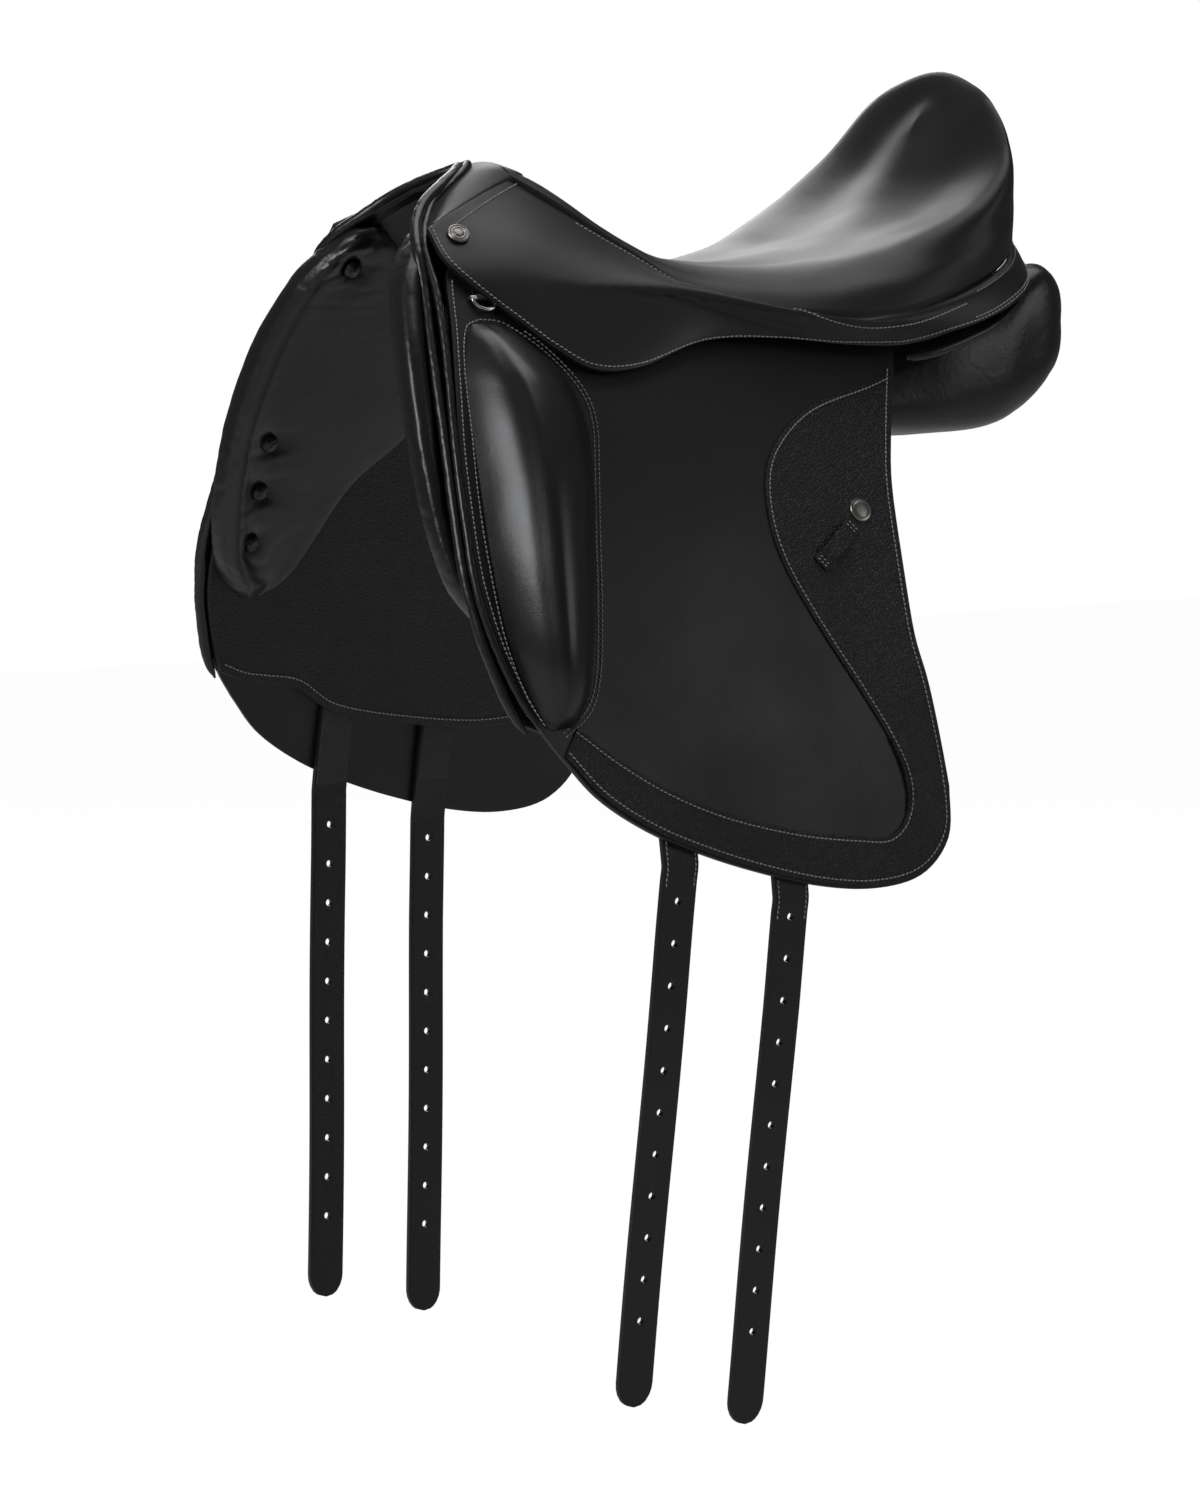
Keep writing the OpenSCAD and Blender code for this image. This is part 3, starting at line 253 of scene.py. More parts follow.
def leg_point(y, z, depth=0.0):
    return Vector((leg_x(z, depth), y, z))


def leg_normal(z):
    v = Vector((leg_x(z) - LEG_X, 0.0, z - LEG_Z))
    return v.normalized()


def bend_z(y):
    (y0, z0), (y1, z1) = BEND
    return z0 + (z1 - z0) * (y - y0) / (y1 - y0)


ROLL_SHIFT_F = [float(v) for v in ROLL_SHIFT]
SPINE_V, RIM_V, SEAM_V, BAND_V, HEM_V = (vectors(t) for t in (SPINE, RIM, SEAM, BAND, HEM))
DISH_F, SWELL_F, BAND_SWELL_F = ([float(v) for v in t] for t in (DISH, SWELL, BAND_SWELL))


def seat_point(u, v):
    """Seat surface of the near half: u counts stations, v runs from the middle to the seam."""
    s, r, e = (on_curve(t, u, True) for t in (SPINE_V, RIM_V, SEAM_V))
    away = Vector((e.x, max(0.0, e.y - 60.0), 0.0))
    away = away.normalized() if away.length > 1e-6 else Vector((0, 0, 0))
    m = (s + r) / 2 - Vector((0, 0, 0.6 * on_curve(DISH_F, u, True)))
    w = (r + e) / 2 + on_curve(SWELL_F, u, True) * (away + Vector((0, 0, 0.5)))
    return on_curve([Vector((-m.x, m.y, m.z)), s, m, r, w, e], 1 + 4 * v)


def band_point(u, v):
    e, l, b = on_curve(SEAM_V, u, True), on_curve(BAND_V, u, True), on_curve(BAND_SWELL_F, u, True)
    away = Vector((e.x, max(0.0, e.y - 60.0), e.x if u < 5 else 0.0))
    away = away.normalized() if away.length > 1e-6 else Vector((0, 0, 0))
    return e + (l - e) * v + away * b * 4 * v * (1 - v)


def seam_inward(u):
    """Direction into the saddle at the seam of seat and skirt."""
    u, h = min(max(u, 0.05), 9.95), 0.04
    along = on_curve(SEAM_V, u + h, True) - on_curve(SEAM_V, u - h, True)
    into = along.cross(band_point(u, 0.3) - seat_point(u, 0.85)).normalized()
    return -into if into.dot(Vector((-0.8, 0.0 if u < 7 else -0.6, -0.6))) < 0 else into


def skirt_column(u, n):
    """n + 1 points of skirt or band from the seam down to its lower edge."""
    low = on_curve(HEM_V, 2 * u, True)
    line = [band_point(u, v) for v in (0.0, 0.25, 0.5, 0.75, 0.92)] + [low]
    line = even(smooth(line, 6), n)
    total = sum((q - p).length for p, q in zip(line, line[1:]))
    inward = seam_inward(u)
    return [p + inward * GROOVE_DEPTH * math.exp(-(total * k / n / GROOVE_WIDTH) ** 2)
            for k, p in enumerate(line)]


# ---------------------------------------------------------------- meshes

def deselect():
    if bpy.context.object and bpy.context.object.mode != "OBJECT":
        bpy.ops.object.mode_set(mode="OBJECT")
    bpy.ops.object.select_all(action="DESELECT")


def make_active(obj):
    deselect()
    obj.select_set(True)
    bpy.context.view_layer.objects.active = obj


def object_from(name, points, faces):
    """Object from points in millimetres and faces."""
    mesh = bpy.data.meshes.new(name)
    mesh.from_pydata([(p[0] * MM, p[1] * MM, p[2] * MM) for p in points], [], faces)
    mesh.update()
    obj = bpy.data.objects.new(name, mesh)
    bpy.context.scene.collection.objects.link(obj)
    return obj


def grid_faces(m, n, wrap=False):
    faces = []
    for i in range(m - 1):
        for j in range(n if wrap else n - 1):
            k = (j + 1) % n
            faces.append((i * n + j, i * n + k, (i + 1) * n + k, (i + 1) * n + j))
    return faces


def tidy(obj, outward=None, merge=0.00002):
    """Joins double points and turns the faces outward; outward gives the side of an open sheet."""
    bm = bmesh.new()
    bm.from_mesh(obj.data)
    bmesh.ops.remove_doubles(bm, verts=bm.verts, dist=merge)
    bmesh.ops.dissolve_degenerate(bm, edges=bm.edges, dist=0.000005)
    bmesh.ops.recalc_face_normals(bm, faces=bm.faces)
    if outward is not None:
        total = sum(f.normal.dot(outward(f.calc_center_median())) * f.calc_area() for f in bm.faces)
        if total < 0:
            bmesh.ops.reverse_faces(bm, faces=bm.faces)
    bm.to_mesh(obj.data)
    bm.free()
    obj.data.update()


def sheet_object(name, rows, outward):
    rows = [list(r) for r in rows]
    obj = object_from(name, [p for r in rows for p in r], grid_faces(len(rows), len(rows[0])))
    tidy(obj, outward)
    return obj


def loft_object(name, rings):
    """Closed skin through rings of points, with a fan of faces on each end."""
    m, n = len(rings), len(rings[0])
    points = [p for r in rings for p in r]
    faces = grid_faces(m, n, wrap=True)
    for i in (0, m - 1):
        points.append(sum((Vector(p) for p in rings[i]), Vector((0, 0, 0))) / n)
        c = len(points) - 1
        faces += [(i * n + j, i * n + (j + 1) % n, c) for j in range(n)]
    obj = object_from(name, points, faces)
    tidy(obj)
    return obj


def apply_modifier(obj, kind, **values):
    make_active(obj)
    mod = obj.modifiers.new(kind.title(), kind)
    for key, value in values.items():
        setattr(mod, key, value)
    bpy.ops.object.modifier_apply(modifier=mod.name)


def thicken(obj, thickness, round_edge):
    """Gives a sheet its thickness inward and rounds its edges."""
    apply_modifier(obj, "SOLIDIFY", thickness=thickness, offset=-1.0)
    if round_edge:
        apply_modifier(obj, "BEVEL", width=round_edge, segments=3, limit_method="ANGLE",
                       angle_limit=math.radians(50))


def smooth_shade(obj, angle=40):
    make_active(obj)
    bpy.ops.object.shade_smooth_by_angle(angle=math.radians(angle))


def shift_points(obj, move):
    """Moves each vertex by what move(place in mm, normal) gives in mm."""
    mesh = obj.data
    normals = [v.normal.copy() for v in mesh.vertices]
    for v, n in zip(mesh.vertices, normals):
        v.co += move(v.co / MM, n) * MM
    mesh.update()


def ripple(p, size, seed=0.0):
    return noise.noise(p / size + Vector((seed, seed * 1.7, -seed)))


def crease(p, size, stretch=(1, 1, 1), seed=0.0):
    """Sharp little valleys between soft swellings, from 0 to 1."""
    q = Vector((p.x * stretch[0], p.y * stretch[1], p.z * stretch[2])) / size
    q = q + Vector((seed, -seed, seed * 2.3))
    return 1.0 - min(1.0, abs(noise.noise(q)) * 3.2)


def mirrored(obj, name):
    mesh = obj.data.copy()
    mesh.name = name
    for v in mesh.vertices:
        v.co.x = -v.co.x
    mesh.flip_normals()
    other = bpy.data.objects.new(name, mesh)
    bpy.context.scene.collection.objects.link(other)
    return other


def down_leg(depth=0.0, up=0.0):
    """Middle of the flap's bend at a depth, and the direction down the flap square to it."""
    y = (BEND[0][0] + BEND[1][0]) / 2
    z = bend_z(y) + up
    mid = leg_point(y, z, depth)
    axis = (leg_point(BEND[0][0], BEND[0][1], depth) - leg_point(BEND[1][0], BEND[1][1], depth)).normalized()
    n = leg_normal(z)
    d = Vector((n.z, 0.0, -n.x))
    d = (d - axis * d.dot(axis)).normalized()
    return mid, d


def hang_on(obj, side_name, how):
    """Rides a root or flap piece on its body; every other piece only has its place baked into its mesh."""
    sign = 1 if side_name == "left" else -1

    def place(v):
        return (v.x * sign * MM, v.y * MM, v.z * MM)

    if how in ("root", "flap"):
        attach(obj, "root" if how == "root" else side_name + "_flap")
    elif how == "flap_bend":
        mid, d = down_leg(2.0)
        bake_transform(obj)
    elif how == "skirt_bend":
        mid, d = down_leg(-7.05, 7.0)
        d = (d - Vector((0, 0.12, 0))).normalized()
        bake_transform(obj)
    else:
        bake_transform(obj)


def both_sides(obj, material, how, nodes=()):
    """Gives the near piece its finish, makes the off-side copy, and hands both to hang_on, which puts root
    and flap pieces on their bodies.
    """
    base = obj.name
    right = mirrored(obj, base + "_right")
    obj.name = base + "_left"
    obj.data.name = base + "_left"
    made = []
    for piece, side_name in ((obj, "left"), (right, "right")):
        dress(piece, material)
        hang_on(piece, side_name, how)
        if nodes:
            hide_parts(*[n + "_" + side_name for n in nodes])
        made.append(piece)
    return made


def dress(obj, material):
    obj.data.materials.clear()
    obj.data.materials.append(finish(material))


def single(obj, material, body="root", nodes=()):
    dress(obj, material)
    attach(obj, body)
    if nodes:
        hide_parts(*nodes)
    return obj


def patch(front, rear, top, low, m, n, to_space):
    """Grid that fills the four edges of an outline; front and rear run down, top and low run back."""
    front, rear, top, low = even(front, m), even(rear, m), even(top, n), even(low, n)
    rows = []
    for i in range(m + 1):
        t = i / m
        row = []
        for j in range(n + 1):
            s = j / n
            p = (1 - t) * top[j] + t * low[j] + (1 - s) * front[i] + s * rear[i] \
                - (1 - s) * (1 - t) * front[0] - s * (1 - t) * rear[0] \
                - (1 - s) * t * front[m] - s * t * rear[m]
            row.append(to_space(p))
        rows.append(row)
    return rows


def tube_object(name, path, radius, sides=16):
    """Round tube along a path, closed at its ends; radius may be a function of the place along it."""
    path = [Vector(p) for p in path]
    n = len(path)
    rings = []
    last = None
    for i in range(n):
        t = (path[min(i + 1, n - 1)] - path[max(i - 1, 0)]).normalized()
        a = (last - t * last.dot(t)).normalized() if last else t.cross(Vector((0.9, 0.3, 0.2))).normalized()
        last = a
        b = t.cross(a)
        r = radius(i / (n - 1)) if callable(radius) else radius
        rings.append([path[i] + r * (math.cos(2 * math.pi * k / sides) * a
                                     + math.sin(2 * math.pi * k / sides) * b) for k in range(sides)])
    return loft_object(name, rings)


# Rings of one stitch: place along it, height and size
STITCH_RINGS = ((-1.0, -1.2, 0.55), (-0.62, 0.35, 1.0), (0.62, 0.35, 1.0), (1.0, -1.2, 0.55))


def stitches(name, lines, pitch=None):
    """Rows of thread; each line is a list of (place, outward normal) along a surface, in mm."""
    pitch = (pitch or sizes().stitch) / MM
    radius = sizes().thread / MM
    points, faces = [], []
    for line in lines:
        places = [Vector(p) for p, _ in line]
        sums = [0.0]
        for p, q in zip(places, places[1:]):
            sums.append(sums[-1] + (q - p).length)
        count = max(1, int(sums[-1] / pitch))
        j = 0
        for k in range(count):
            want = sums[-1] * (k + 0.5) / count
            while j < len(sums) - 2 and sums[j + 1] < want:
                j += 1
            f = (want - sums[j]) / max(sums[j + 1] - sums[j], 1e-9)
            c = places[j].lerp(places[j + 1], f)
            t = (places[j + 1] - places[j]).normalized()
            n = Vector(line[j][1]).lerp(Vector(line[j + 1][1]), f).normalized()
            b = n.cross(t).normalized()
            t = (t + 0.10 * b).normalized()
            half = 0.39 * pitch
            first = len(points)
            for along, up, size in STITCH_RINGS:
                mid = c + t * (along * half) + n * (up * radius + radius * 0.75)
                for a in range(6):
                    w = math.pi * a / 3
                    points.append(mid + radius * size * (math.cos(w) * b + math.sin(w) * n))
            for r in range(3):
                for a in range(6):
                    e = (a + 1) % 6
                    faces.append((first + r * 6 + a, first + r * 6 + e, first + (r + 1) * 6 + e,
                                  first + (r + 1) * 6 + a))
            faces.append(tuple(first + a for a in range(5, -1, -1)))
            faces.append(tuple(first + 18 + a for a in range(6)))
    obj = object_from(name, points, faces)
    tidy(obj, merge=0.0)
    for poly in obj.data.polygons:
        poly.use_smooth = True
    return obj


def leg_line(points, depth, steps=6):
    """Line on the flap as places and normals, from places along the saddle and heights."""
    return [(leg_point(p.x, p.y, depth), leg_normal(p.y)) for p in smooth(points, steps)]


# ---------------------------------------------------------------- materials

def group(name, inputs, outputs):
    tree = bpy.data.node_groups.new(name, "ShaderNodeTree")
    for label, default in inputs:
        socket = tree.interface.new_socket(name=label, in_out="INPUT", socket_type="NodeSocketFloat")
        socket.default_value = default
    for label in outputs:
        tree.interface.new_socket(name=label, in_out="OUTPUT", socket_type="NodeSocketFloat")
    return tree, tree.nodes.new("NodeGroupInput"), tree.nodes.new("NodeGroupOutput")


def math_node(tree, operation, a, b=None, clamp=False):
    node = tree.nodes.new("ShaderNodeMath")
    node.operation = operation
    node.use_clamp = clamp
    for i, value in enumerate((a, b)):
        if value is None:
            continue
        if isinstance(value, (int, float)):
            node.inputs[i].default_value = value
        else:
            tree.links.new(value, node.inputs[i])
    return node.outputs[0]


def leather_group():
    """Grain of leather: fine pores, pebbles where asked for, long creases and soft patches."""
    if "Leather Grain" in bpy.data.node_groups:
        return bpy.data.node_groups["Leather Grain"]
    tree, get, put = group("Leather Grain", [("Pore Scale", 900.0), ("Pebble Scale", 420.0), ("Pebble", 0.0),
                                             ("Crease", 0.2), ("Crease Scale", 60.0)], ["Height", "Patches"])
    place = tree.nodes.new("ShaderNodeTexCoord").outputs["Object"]
    pores = tree.nodes.new("ShaderNodeTexVoronoi")
    pores.feature = "SMOOTH_F1"
    pores.inputs["Smoothness"].default_value = 0.6
    tree.links.new(place, pores.inputs["Vector"])
    tree.links.new(get.outputs["Pore Scale"], pores.inputs["Scale"])
    warp = tree.nodes.new("ShaderNodeTexNoise")
    warp.inputs["Scale"].default_value = 180.0
    warp.inputs["Detail"].default_value = 2.0
    tree.links.new(place, warp.inputs["Vector"])
    mix = tree.nodes.new("ShaderNodeVectorMath")
    mix.operation = "MULTIPLY_ADD"
    tree.links.new(warp.outputs["Color"], mix.inputs[0])
    mix.inputs[1].default_value = (0.0016, 0.0016, 0.0016)
    tree.links.new(place, mix.inputs[2])
    pebbles = tree.nodes.new("ShaderNodeTexVoronoi")
    pebbles.feature = "DISTANCE_TO_EDGE"
    tree.links.new(mix.outputs[0], pebbles.inputs["Vector"])
    tree.links.new(get.outputs["Pebble Scale"], pebbles.inputs["Scale"])
    dome = tree.nodes.new("ShaderNodeMapRange")
    dome.interpolation_type = "SMOOTHERSTEP"
    dome.inputs["From Max"].default_value = 0.30
    tree.links.new(pebbles.outputs["Distance"], dome.inputs["Value"])
    folds = tree.nodes.new("ShaderNodeTexNoise")
    folds.inputs["Detail"].default_value = 3.0
    folds.inputs["Distortion"].default_value = 0.6
    tree.links.new(place, folds.inputs["Vector"])
    tree.links.new(get.outputs["Crease Scale"], folds.inputs["Scale"])
    valley = math_node(tree, "ABSOLUTE", math_node(tree, "SUBTRACT", folds.outputs[0], 0.5))
    valley = math_node(tree, "MULTIPLY", valley, 5.0, clamp=True)
    patches = tree.nodes.new("ShaderNodeTexNoise")
    patches.inputs["Scale"].default_value = 14.0
    patches.inputs["Detail"].default_value = 4.0
    tree.links.new(place, patches.inputs["Vector"])
    fine = math_node(tree, "MULTIPLY", pores.outputs["Distance"], 0.35)
    big = math_node(tree, "MULTIPLY", dome.outputs[0], get.outputs["Pebble"])
    long = math_node(tree, "MULTIPLY", valley, get.outputs["Crease"])
    height = math_node(tree, "ADD", math_node(tree, "ADD", fine, big), long)
    tree.links.new(height, put.inputs["Height"])
    tree.links.new(patches.outputs[0], put.inputs["Patches"])
    return tree


def shader(name):
    material = bpy.data.materials.new(name)
    material.use_nodes = True
    tree = material.node_tree
    return material, tree, tree.nodes["Principled BSDF"]


def ramp(tree, value, low, high, low_in=0.3, high_in=0.7):
    node = tree.nodes.new("ShaderNodeMapRange")
    node.inputs["From Min"].default_value = low_in
    node.inputs["From Max"].default_value = high_in
    node.inputs["To Min"].default_value = low
    node.inputs["To Max"].default_value = high
    tree.links.new(value, node.inputs["Value"])
    return node.outputs[0]


def tint(tree, value, low, high, low_in=0.3, high_in=0.7):
    node = tree.nodes.new("ShaderNodeMix")
    node.data_type = "RGBA"
    node.inputs["A"].default_value = (*low, 1.0)
    node.inputs["B"].default_value = (*high, 1.0)
    tree.links.new(ramp(tree, value, 0.0, 1.0, low_in, high_in), node.inputs["Factor"])
    return node.outputs["Result"]


def bump(tree, bsdf, height, distance):
    node = tree.nodes.new("ShaderNodeBump")
    node.inputs["Distance"].default_value = distance
    node.inputs["Strength"].default_value = 1.0
    tree.links.new(height, node.inputs["Height"])
    tree.links.new(node.outputs[0], bsdf.inputs["Normal"])


def leather(name, rough, pebble, pores, bump_size, crease_amount, crease_scale, lift=1.0, coat=0.0,
            pebble_scale=420.0):
    material, tree, bsdf = shader(name)
    grain = tree.nodes.new("ShaderNodeGroup")
    grain.node_tree = leather_group()
    grain.inputs["Pore Scale"].default_value = pores
    grain.inputs["Pebble Scale"].default_value = pebble_scale
    grain.inputs["Pebble"].default_value = pebble
    grain.inputs["Crease"].default_value = crease_amount
    grain.inputs["Crease Scale"].default_value = crease_scale
    base = [c * lift for c in looks().leather]
    tree.links.new(tint(tree, grain.outputs["Patches"], [c * 0.85 for c in base], [c * 1.25 for c in base]),
                   bsdf.inputs["Base Color"])
    tree.links.new(ramp(tree, grain.outputs["Patches"], rough + 0.05, rough - 0.04), bsdf.inputs["Roughness"])
    bump(tree, bsdf, grain.outputs["Height"], bump_size)
    if coat:
        bsdf.inputs["Coat Weight"].default_value = coat
        bsdf.inputs["Coat Roughness"].default_value = 0.22
    return material


def patterned(name, low, high, rough, scale, relief=0.0, detail=2.0, stretch=None, cells=False, metallic=0.0):
    """Finish whose colour, roughness (first, last) and relief follow one noise or cell pattern."""
    material, tree, bsdf = shader(name)
    bsdf.inputs["Metallic"].default_value = metallic
    place = tree.nodes.new("ShaderNodeTexCoord").outputs["Object"]
    if stretch:
        turn = tree.nodes.new("ShaderNodeMapping")
        turn.inputs["Scale"].default_value = stretch
        tree.links.new(place, turn.inputs["Vector"])
        place = turn.outputs[0]
    tex = tree.nodes.new("ShaderNodeTexVoronoi" if cells else "ShaderNodeTexNoise")
    tex.inputs["Scale"].default_value = scale
    if not cells:
        tex.inputs["Detail"].default_value = detail
    tree.links.new(place, tex.inputs["Vector"])
    value = tex.outputs["Distance"] if cells else tex.outputs[0]
    tree.links.new(tint(tree, value, low, high), bsdf.inputs["Base Color"])
    tree.links.new(ramp(tree, value, *rough), bsdf.inputs["Roughness"])
    if relief:
        bump(tree, bsdf, value, relief)
    return material


def metal(name, colour, rough, **pattern):
    return patterned(name, [c * 0.72 for c in colour], colour, (rough + 0.12, rough), metallic=1.0, **pattern)


def woven(name, colour, pitch, rough=0.85):
    """Webbing or canvas: warp and weft as two crossed waves, with painted shade darkening the grooves of the
    weave.
    """
    material, tree, bsdf = shader(name)
    place = tree.nodes.new("ShaderNodeTexCoord").outputs["Object"]
    waves = []
    for axis in ("Y", "Z"):
        wave = tree.nodes.new("ShaderNodeTexWave")
        wave.wave_type = "BANDS"
        wave.bands_direction = axis
        wave.inputs["Scale"].default_value = pitch
        wave.inputs["Distortion"].default_value = 0.6
        wave.inputs["Detail"].default_value = 1.0
        tree.links.new(place, wave.inputs["Vector"])
        waves.append(wave.outputs[1])
    height = math_node(tree, "MULTIPLY", waves[0], math_node(tree, "ADD", waves[1], 0.35))
    # Painted shade: colour follows the weave's height, dark in the grooves between threads and lighter on the
    # raised ones
    tree.links.new(tint(tree, height, [c * 0.4 for c in colour], [c * 1.3 for c in colour], 0.1, 0.9),
                   bsdf.inputs["Base Color"])
    tree.links.new(ramp(tree, height, rough, rough - 0.15), bsdf.inputs["Roughness"])
    bsdf.inputs["Sheen Weight"].default_value = 0.2
    bump(tree, bsdf, height, 0.0005)
    return material


def threads(name):
    base = looks().thread
    return patterned(name, [c * 0.6 for c in base], [c * 1.25 for c in base], (0.75, 0.6), 1500.0, 0.0001)


RECIPES = {
    "Smooth Leather": lambda n: leather(n, 0.43, 0.0, 1100.0, 0.00011, 0.25, 70.0, 1.0),
    "Seat Leather": lambda n: leather(n, 0.46, 0.0, 1100.0, 0.00012, 0.30, 55.0, 1.05),
    "Polished Leather": lambda n: leather(n, 0.33, 0.0, 1300.0, 0.00009, 0.45, 90.0, 1.1, coat=0.18),
    "Panel Leather": lambda n: leather(n, 0.33, 0.0, 1200.0, 0.00014, 0.8, 75.0, 1.1, coat=0.15),
    "Grained Leather": lambda n: leather(n, 0.46, 1.0, 1500.0, 0.00034, 0.1, 60.0, 0.95),
    "Strap Leather": lambda n: leather(n, 0.40, 0.15, 900.0, 0.00022, 0.5, 40.0, 1.0),
    "Thread": threads,
    "Webbing": lambda n: woven(n, (0.04, 0.04, 0.043), 300.0),
    "Canvas": lambda n: woven(n, (0.50, 0.45, 0.34), 260.0),
    "Pewter": lambda n: metal(n, tuple(looks().pewter), 0.30, scale=160.0, detail=5.0),
    "Polished Steel": lambda n: metal(n, (0.82, 0.82, 0.83), 0.10, scale=160.0, detail=5.0),
    "Ground Steel": lambda n: metal(n, (0.50, 0.51, 0.53), 0.34, scale=900.0, detail=5.0, relief=0.00004,
                                    stretch=(1.0, 0.06, 1.0)),
    "Beech": lambda n: patterned(n, (0.32, 0.19, 0.10), (0.58, 0.40, 0.23), (0.62, 0.48), 220.0, 0.0003, 6.0,
                                 stretch=(1.0, 0.15, 1.0)),
    "Foam": lambda n: patterned(n, (0.55, 0.48, 0.33), (0.78, 0.72, 0.58), (0.95, 0.85), 700.0, 0.0006,
                                cells=True),
}


def finish(name):
    if name not in bpy.data.materials:
        RECIPES[name](name)
    return bpy.data.materials[name]


# ---------------------------------------------------------------- pieces

class Piece:
    bl_options = {"REGISTER", "UNDO"}

    def execute(self, context):
        self.build()
        return {"FINISHED"}


def away_from_middle(p):
    return Vector((p.x, p.y * 0.2, p.z - 0.02))


class SADDLE_OT_seat(Piece, bpy.types.Operator):
    """Seat leather over its filling, from the pommel round to the cantle"""
    bl_idname = "saddle.seat"
    bl_label = "Seat"

    def build(self):
        m, n = 90, 34

        def rows(inward, reach):
            out = []
            for i in range(m + 1):
                u = 10.0 * i / m
                row, into = [], seam_inward(u)
                seam = seat_point(u, 1.0)
                for j in range(-n, n + 1):
                    v = reach * (1 - (1 - abs(j) / n) ** 1.5)
                    p = seat_point(min(u, 9.995) if j else u, v)
                    if inward:
                        h = 0.02
                        du = seat_point(min(10, u + h), v) - seat_point(max(0, u - h), v)
                        dv = seat_point(min(u, 9.97), min(1, v + h)) - seat_point(min(u, 9.97), max(0, v - h))
                        k = dv.cross(du)
                        k = k.normalized() if k.length > 1e-9 else Vector((0, 0, 1))
                        p = p - inward * (k if k.z > -0.5 else -k)
                    else:
                        p = p + into * SEAT_TUCK * math.exp(-((p - seam).length / GROOVE_WIDTH) ** 2)
                    across = math.copysign(p.x, j) if j and i < m else 0.0
                    row.append(Vector((across, p.y, p.z)))
                out.append(row)
            return out

        cover = sheet_object("seat", rows(0.0, 1.0), lambda p: Vector((p.x, 0, 0.3)))
        shift_points(cover, lambda p, k: k * (0.35 * ripple(p, 34.0) + 0.22 * ripple(p, 15.0, seed=4.0)))
        thicken(cover, 0.002, 0.0006)
        smooth_shade(cover, 60)
        single(cover, "Seat Leather", nodes=("seat_cover",))
        top = rows(FILLING_GAP, FILLING_REACH)
        points = [p for r in top for p in r]
        w = 2 * n + 1
        faces = grid_faces(m + 1, w)
        for i in range(m):
            faces.append((i * w, (i + 1) * w, (i + 1) * w + w - 1, i * w + w - 1))
        faces.append(tuple(range(w - 1, -1, -1)))
        filling = object_from("seat_filling", points, faces)
        tidy(filling)
        smooth_shade(filling, 60)
        single(filling, "Foam", nodes=("seat_foam",))


class SADDLE_OT_skirts(Piece, bpy.types.Operator):
    """Skirts over the stirrup bars and the band that runs on round the cantle"""
    bl_idname = "saddle.skirts"
    bl_label = "Skirts and band"

    def build(self):
        columns = 64
        rows = [skirt_column(SKIRT_END * i / columns, 30) for i in range(columns + 1)]
        skirt = sheet_object("skirt", rows, lambda p: Vector((p.x, 0, 0.05)))
        thicken(skirt, sizes().skirt, 0.0011)
        smooth_shade(skirt)
        both_sides(skirt, "Smooth Leather", "skirt_bend", ("skirt_top", "skirt"))
        columns = 80
        rows = [skirt_column(SKIRT_END + (10 - SKIRT_END) * i / columns, 14) for i in range(columns + 1)]
        rows[-1] = [Vector((0.0, p.y, p.z)) for p in rows[-1]]
        band = sheet_object("cantle_band", rows, away_from_middle)
        thicken(band, sizes().skirt, 0.0009)
        smooth_shade(band)
        both_sides(band, "Smooth Leather", "root")


def hem_line(inset, u0, u1, steps=220, from_low=True):
    """Stitch line on skirt or band at a distance from its lower edge or from its seam."""
    line = []
    for i in range(steps + 1):
        u = u0 + (u1 - u0) * i / steps
        col = skirt_column(u, 60)
        nxt = skirt_column(min(10.0, u + 0.03) if u < 9.97 else u - 0.03, 60)
        total = sum((a - b).length for a, b in zip(col, col[1:]))
        k = max(1, min(59, int(round(60 * (1 - inset / total if from_low else inset / total)))))
        f = 60 * (1 - inset / total if from_low else inset / total) - k
        p = col[k] + (col[k + 1] - col[k]) * f
        q = nxt[k] + (nxt[k + 1] - nxt[k]) * f
        down = (col[k + 1] - col[k - 1]).normalized()
        along = (q - p) * (1 if u < 9.97 else -1)
        normal = down.cross(along).normalized()
        if normal.dot(Vector((p.x, max(0.0, p.y - 100.0), 12.0))) < 0:
            normal = -normal
        line.append((p, normal))
    return line


class SADDLE_OT_skirt_seams(Piece, bpy.types.Operator):
    """Grey stitching along skirts, band and seat seam"""
    bl_idname = "saddle.skirt_seams"
    bl_label = "Skirt and band stitching"

    def build(self):
        skirt = stitches("skirt_stitching", [hem_line(HEM_ROW, 0.0, SKIRT_END)])
        both_sides(skirt, "Thread", "skirt_bend")
        band = stitches("band_stitching", [hem_line(HEM_ROW, SKIRT_END, 10.0),
                                           hem_line(4.2, 6.4, 10.0, 150, False),
                                           hem_line(6.0, 6.4, 10.0, 150, True)])
        both_sides(band, "Thread", "root")
        seat = stitches("seam_stitching", [hem_line(9.0, 1.3, 6.2, 220, False)])
        both_sides(seat, "Thread", "root")


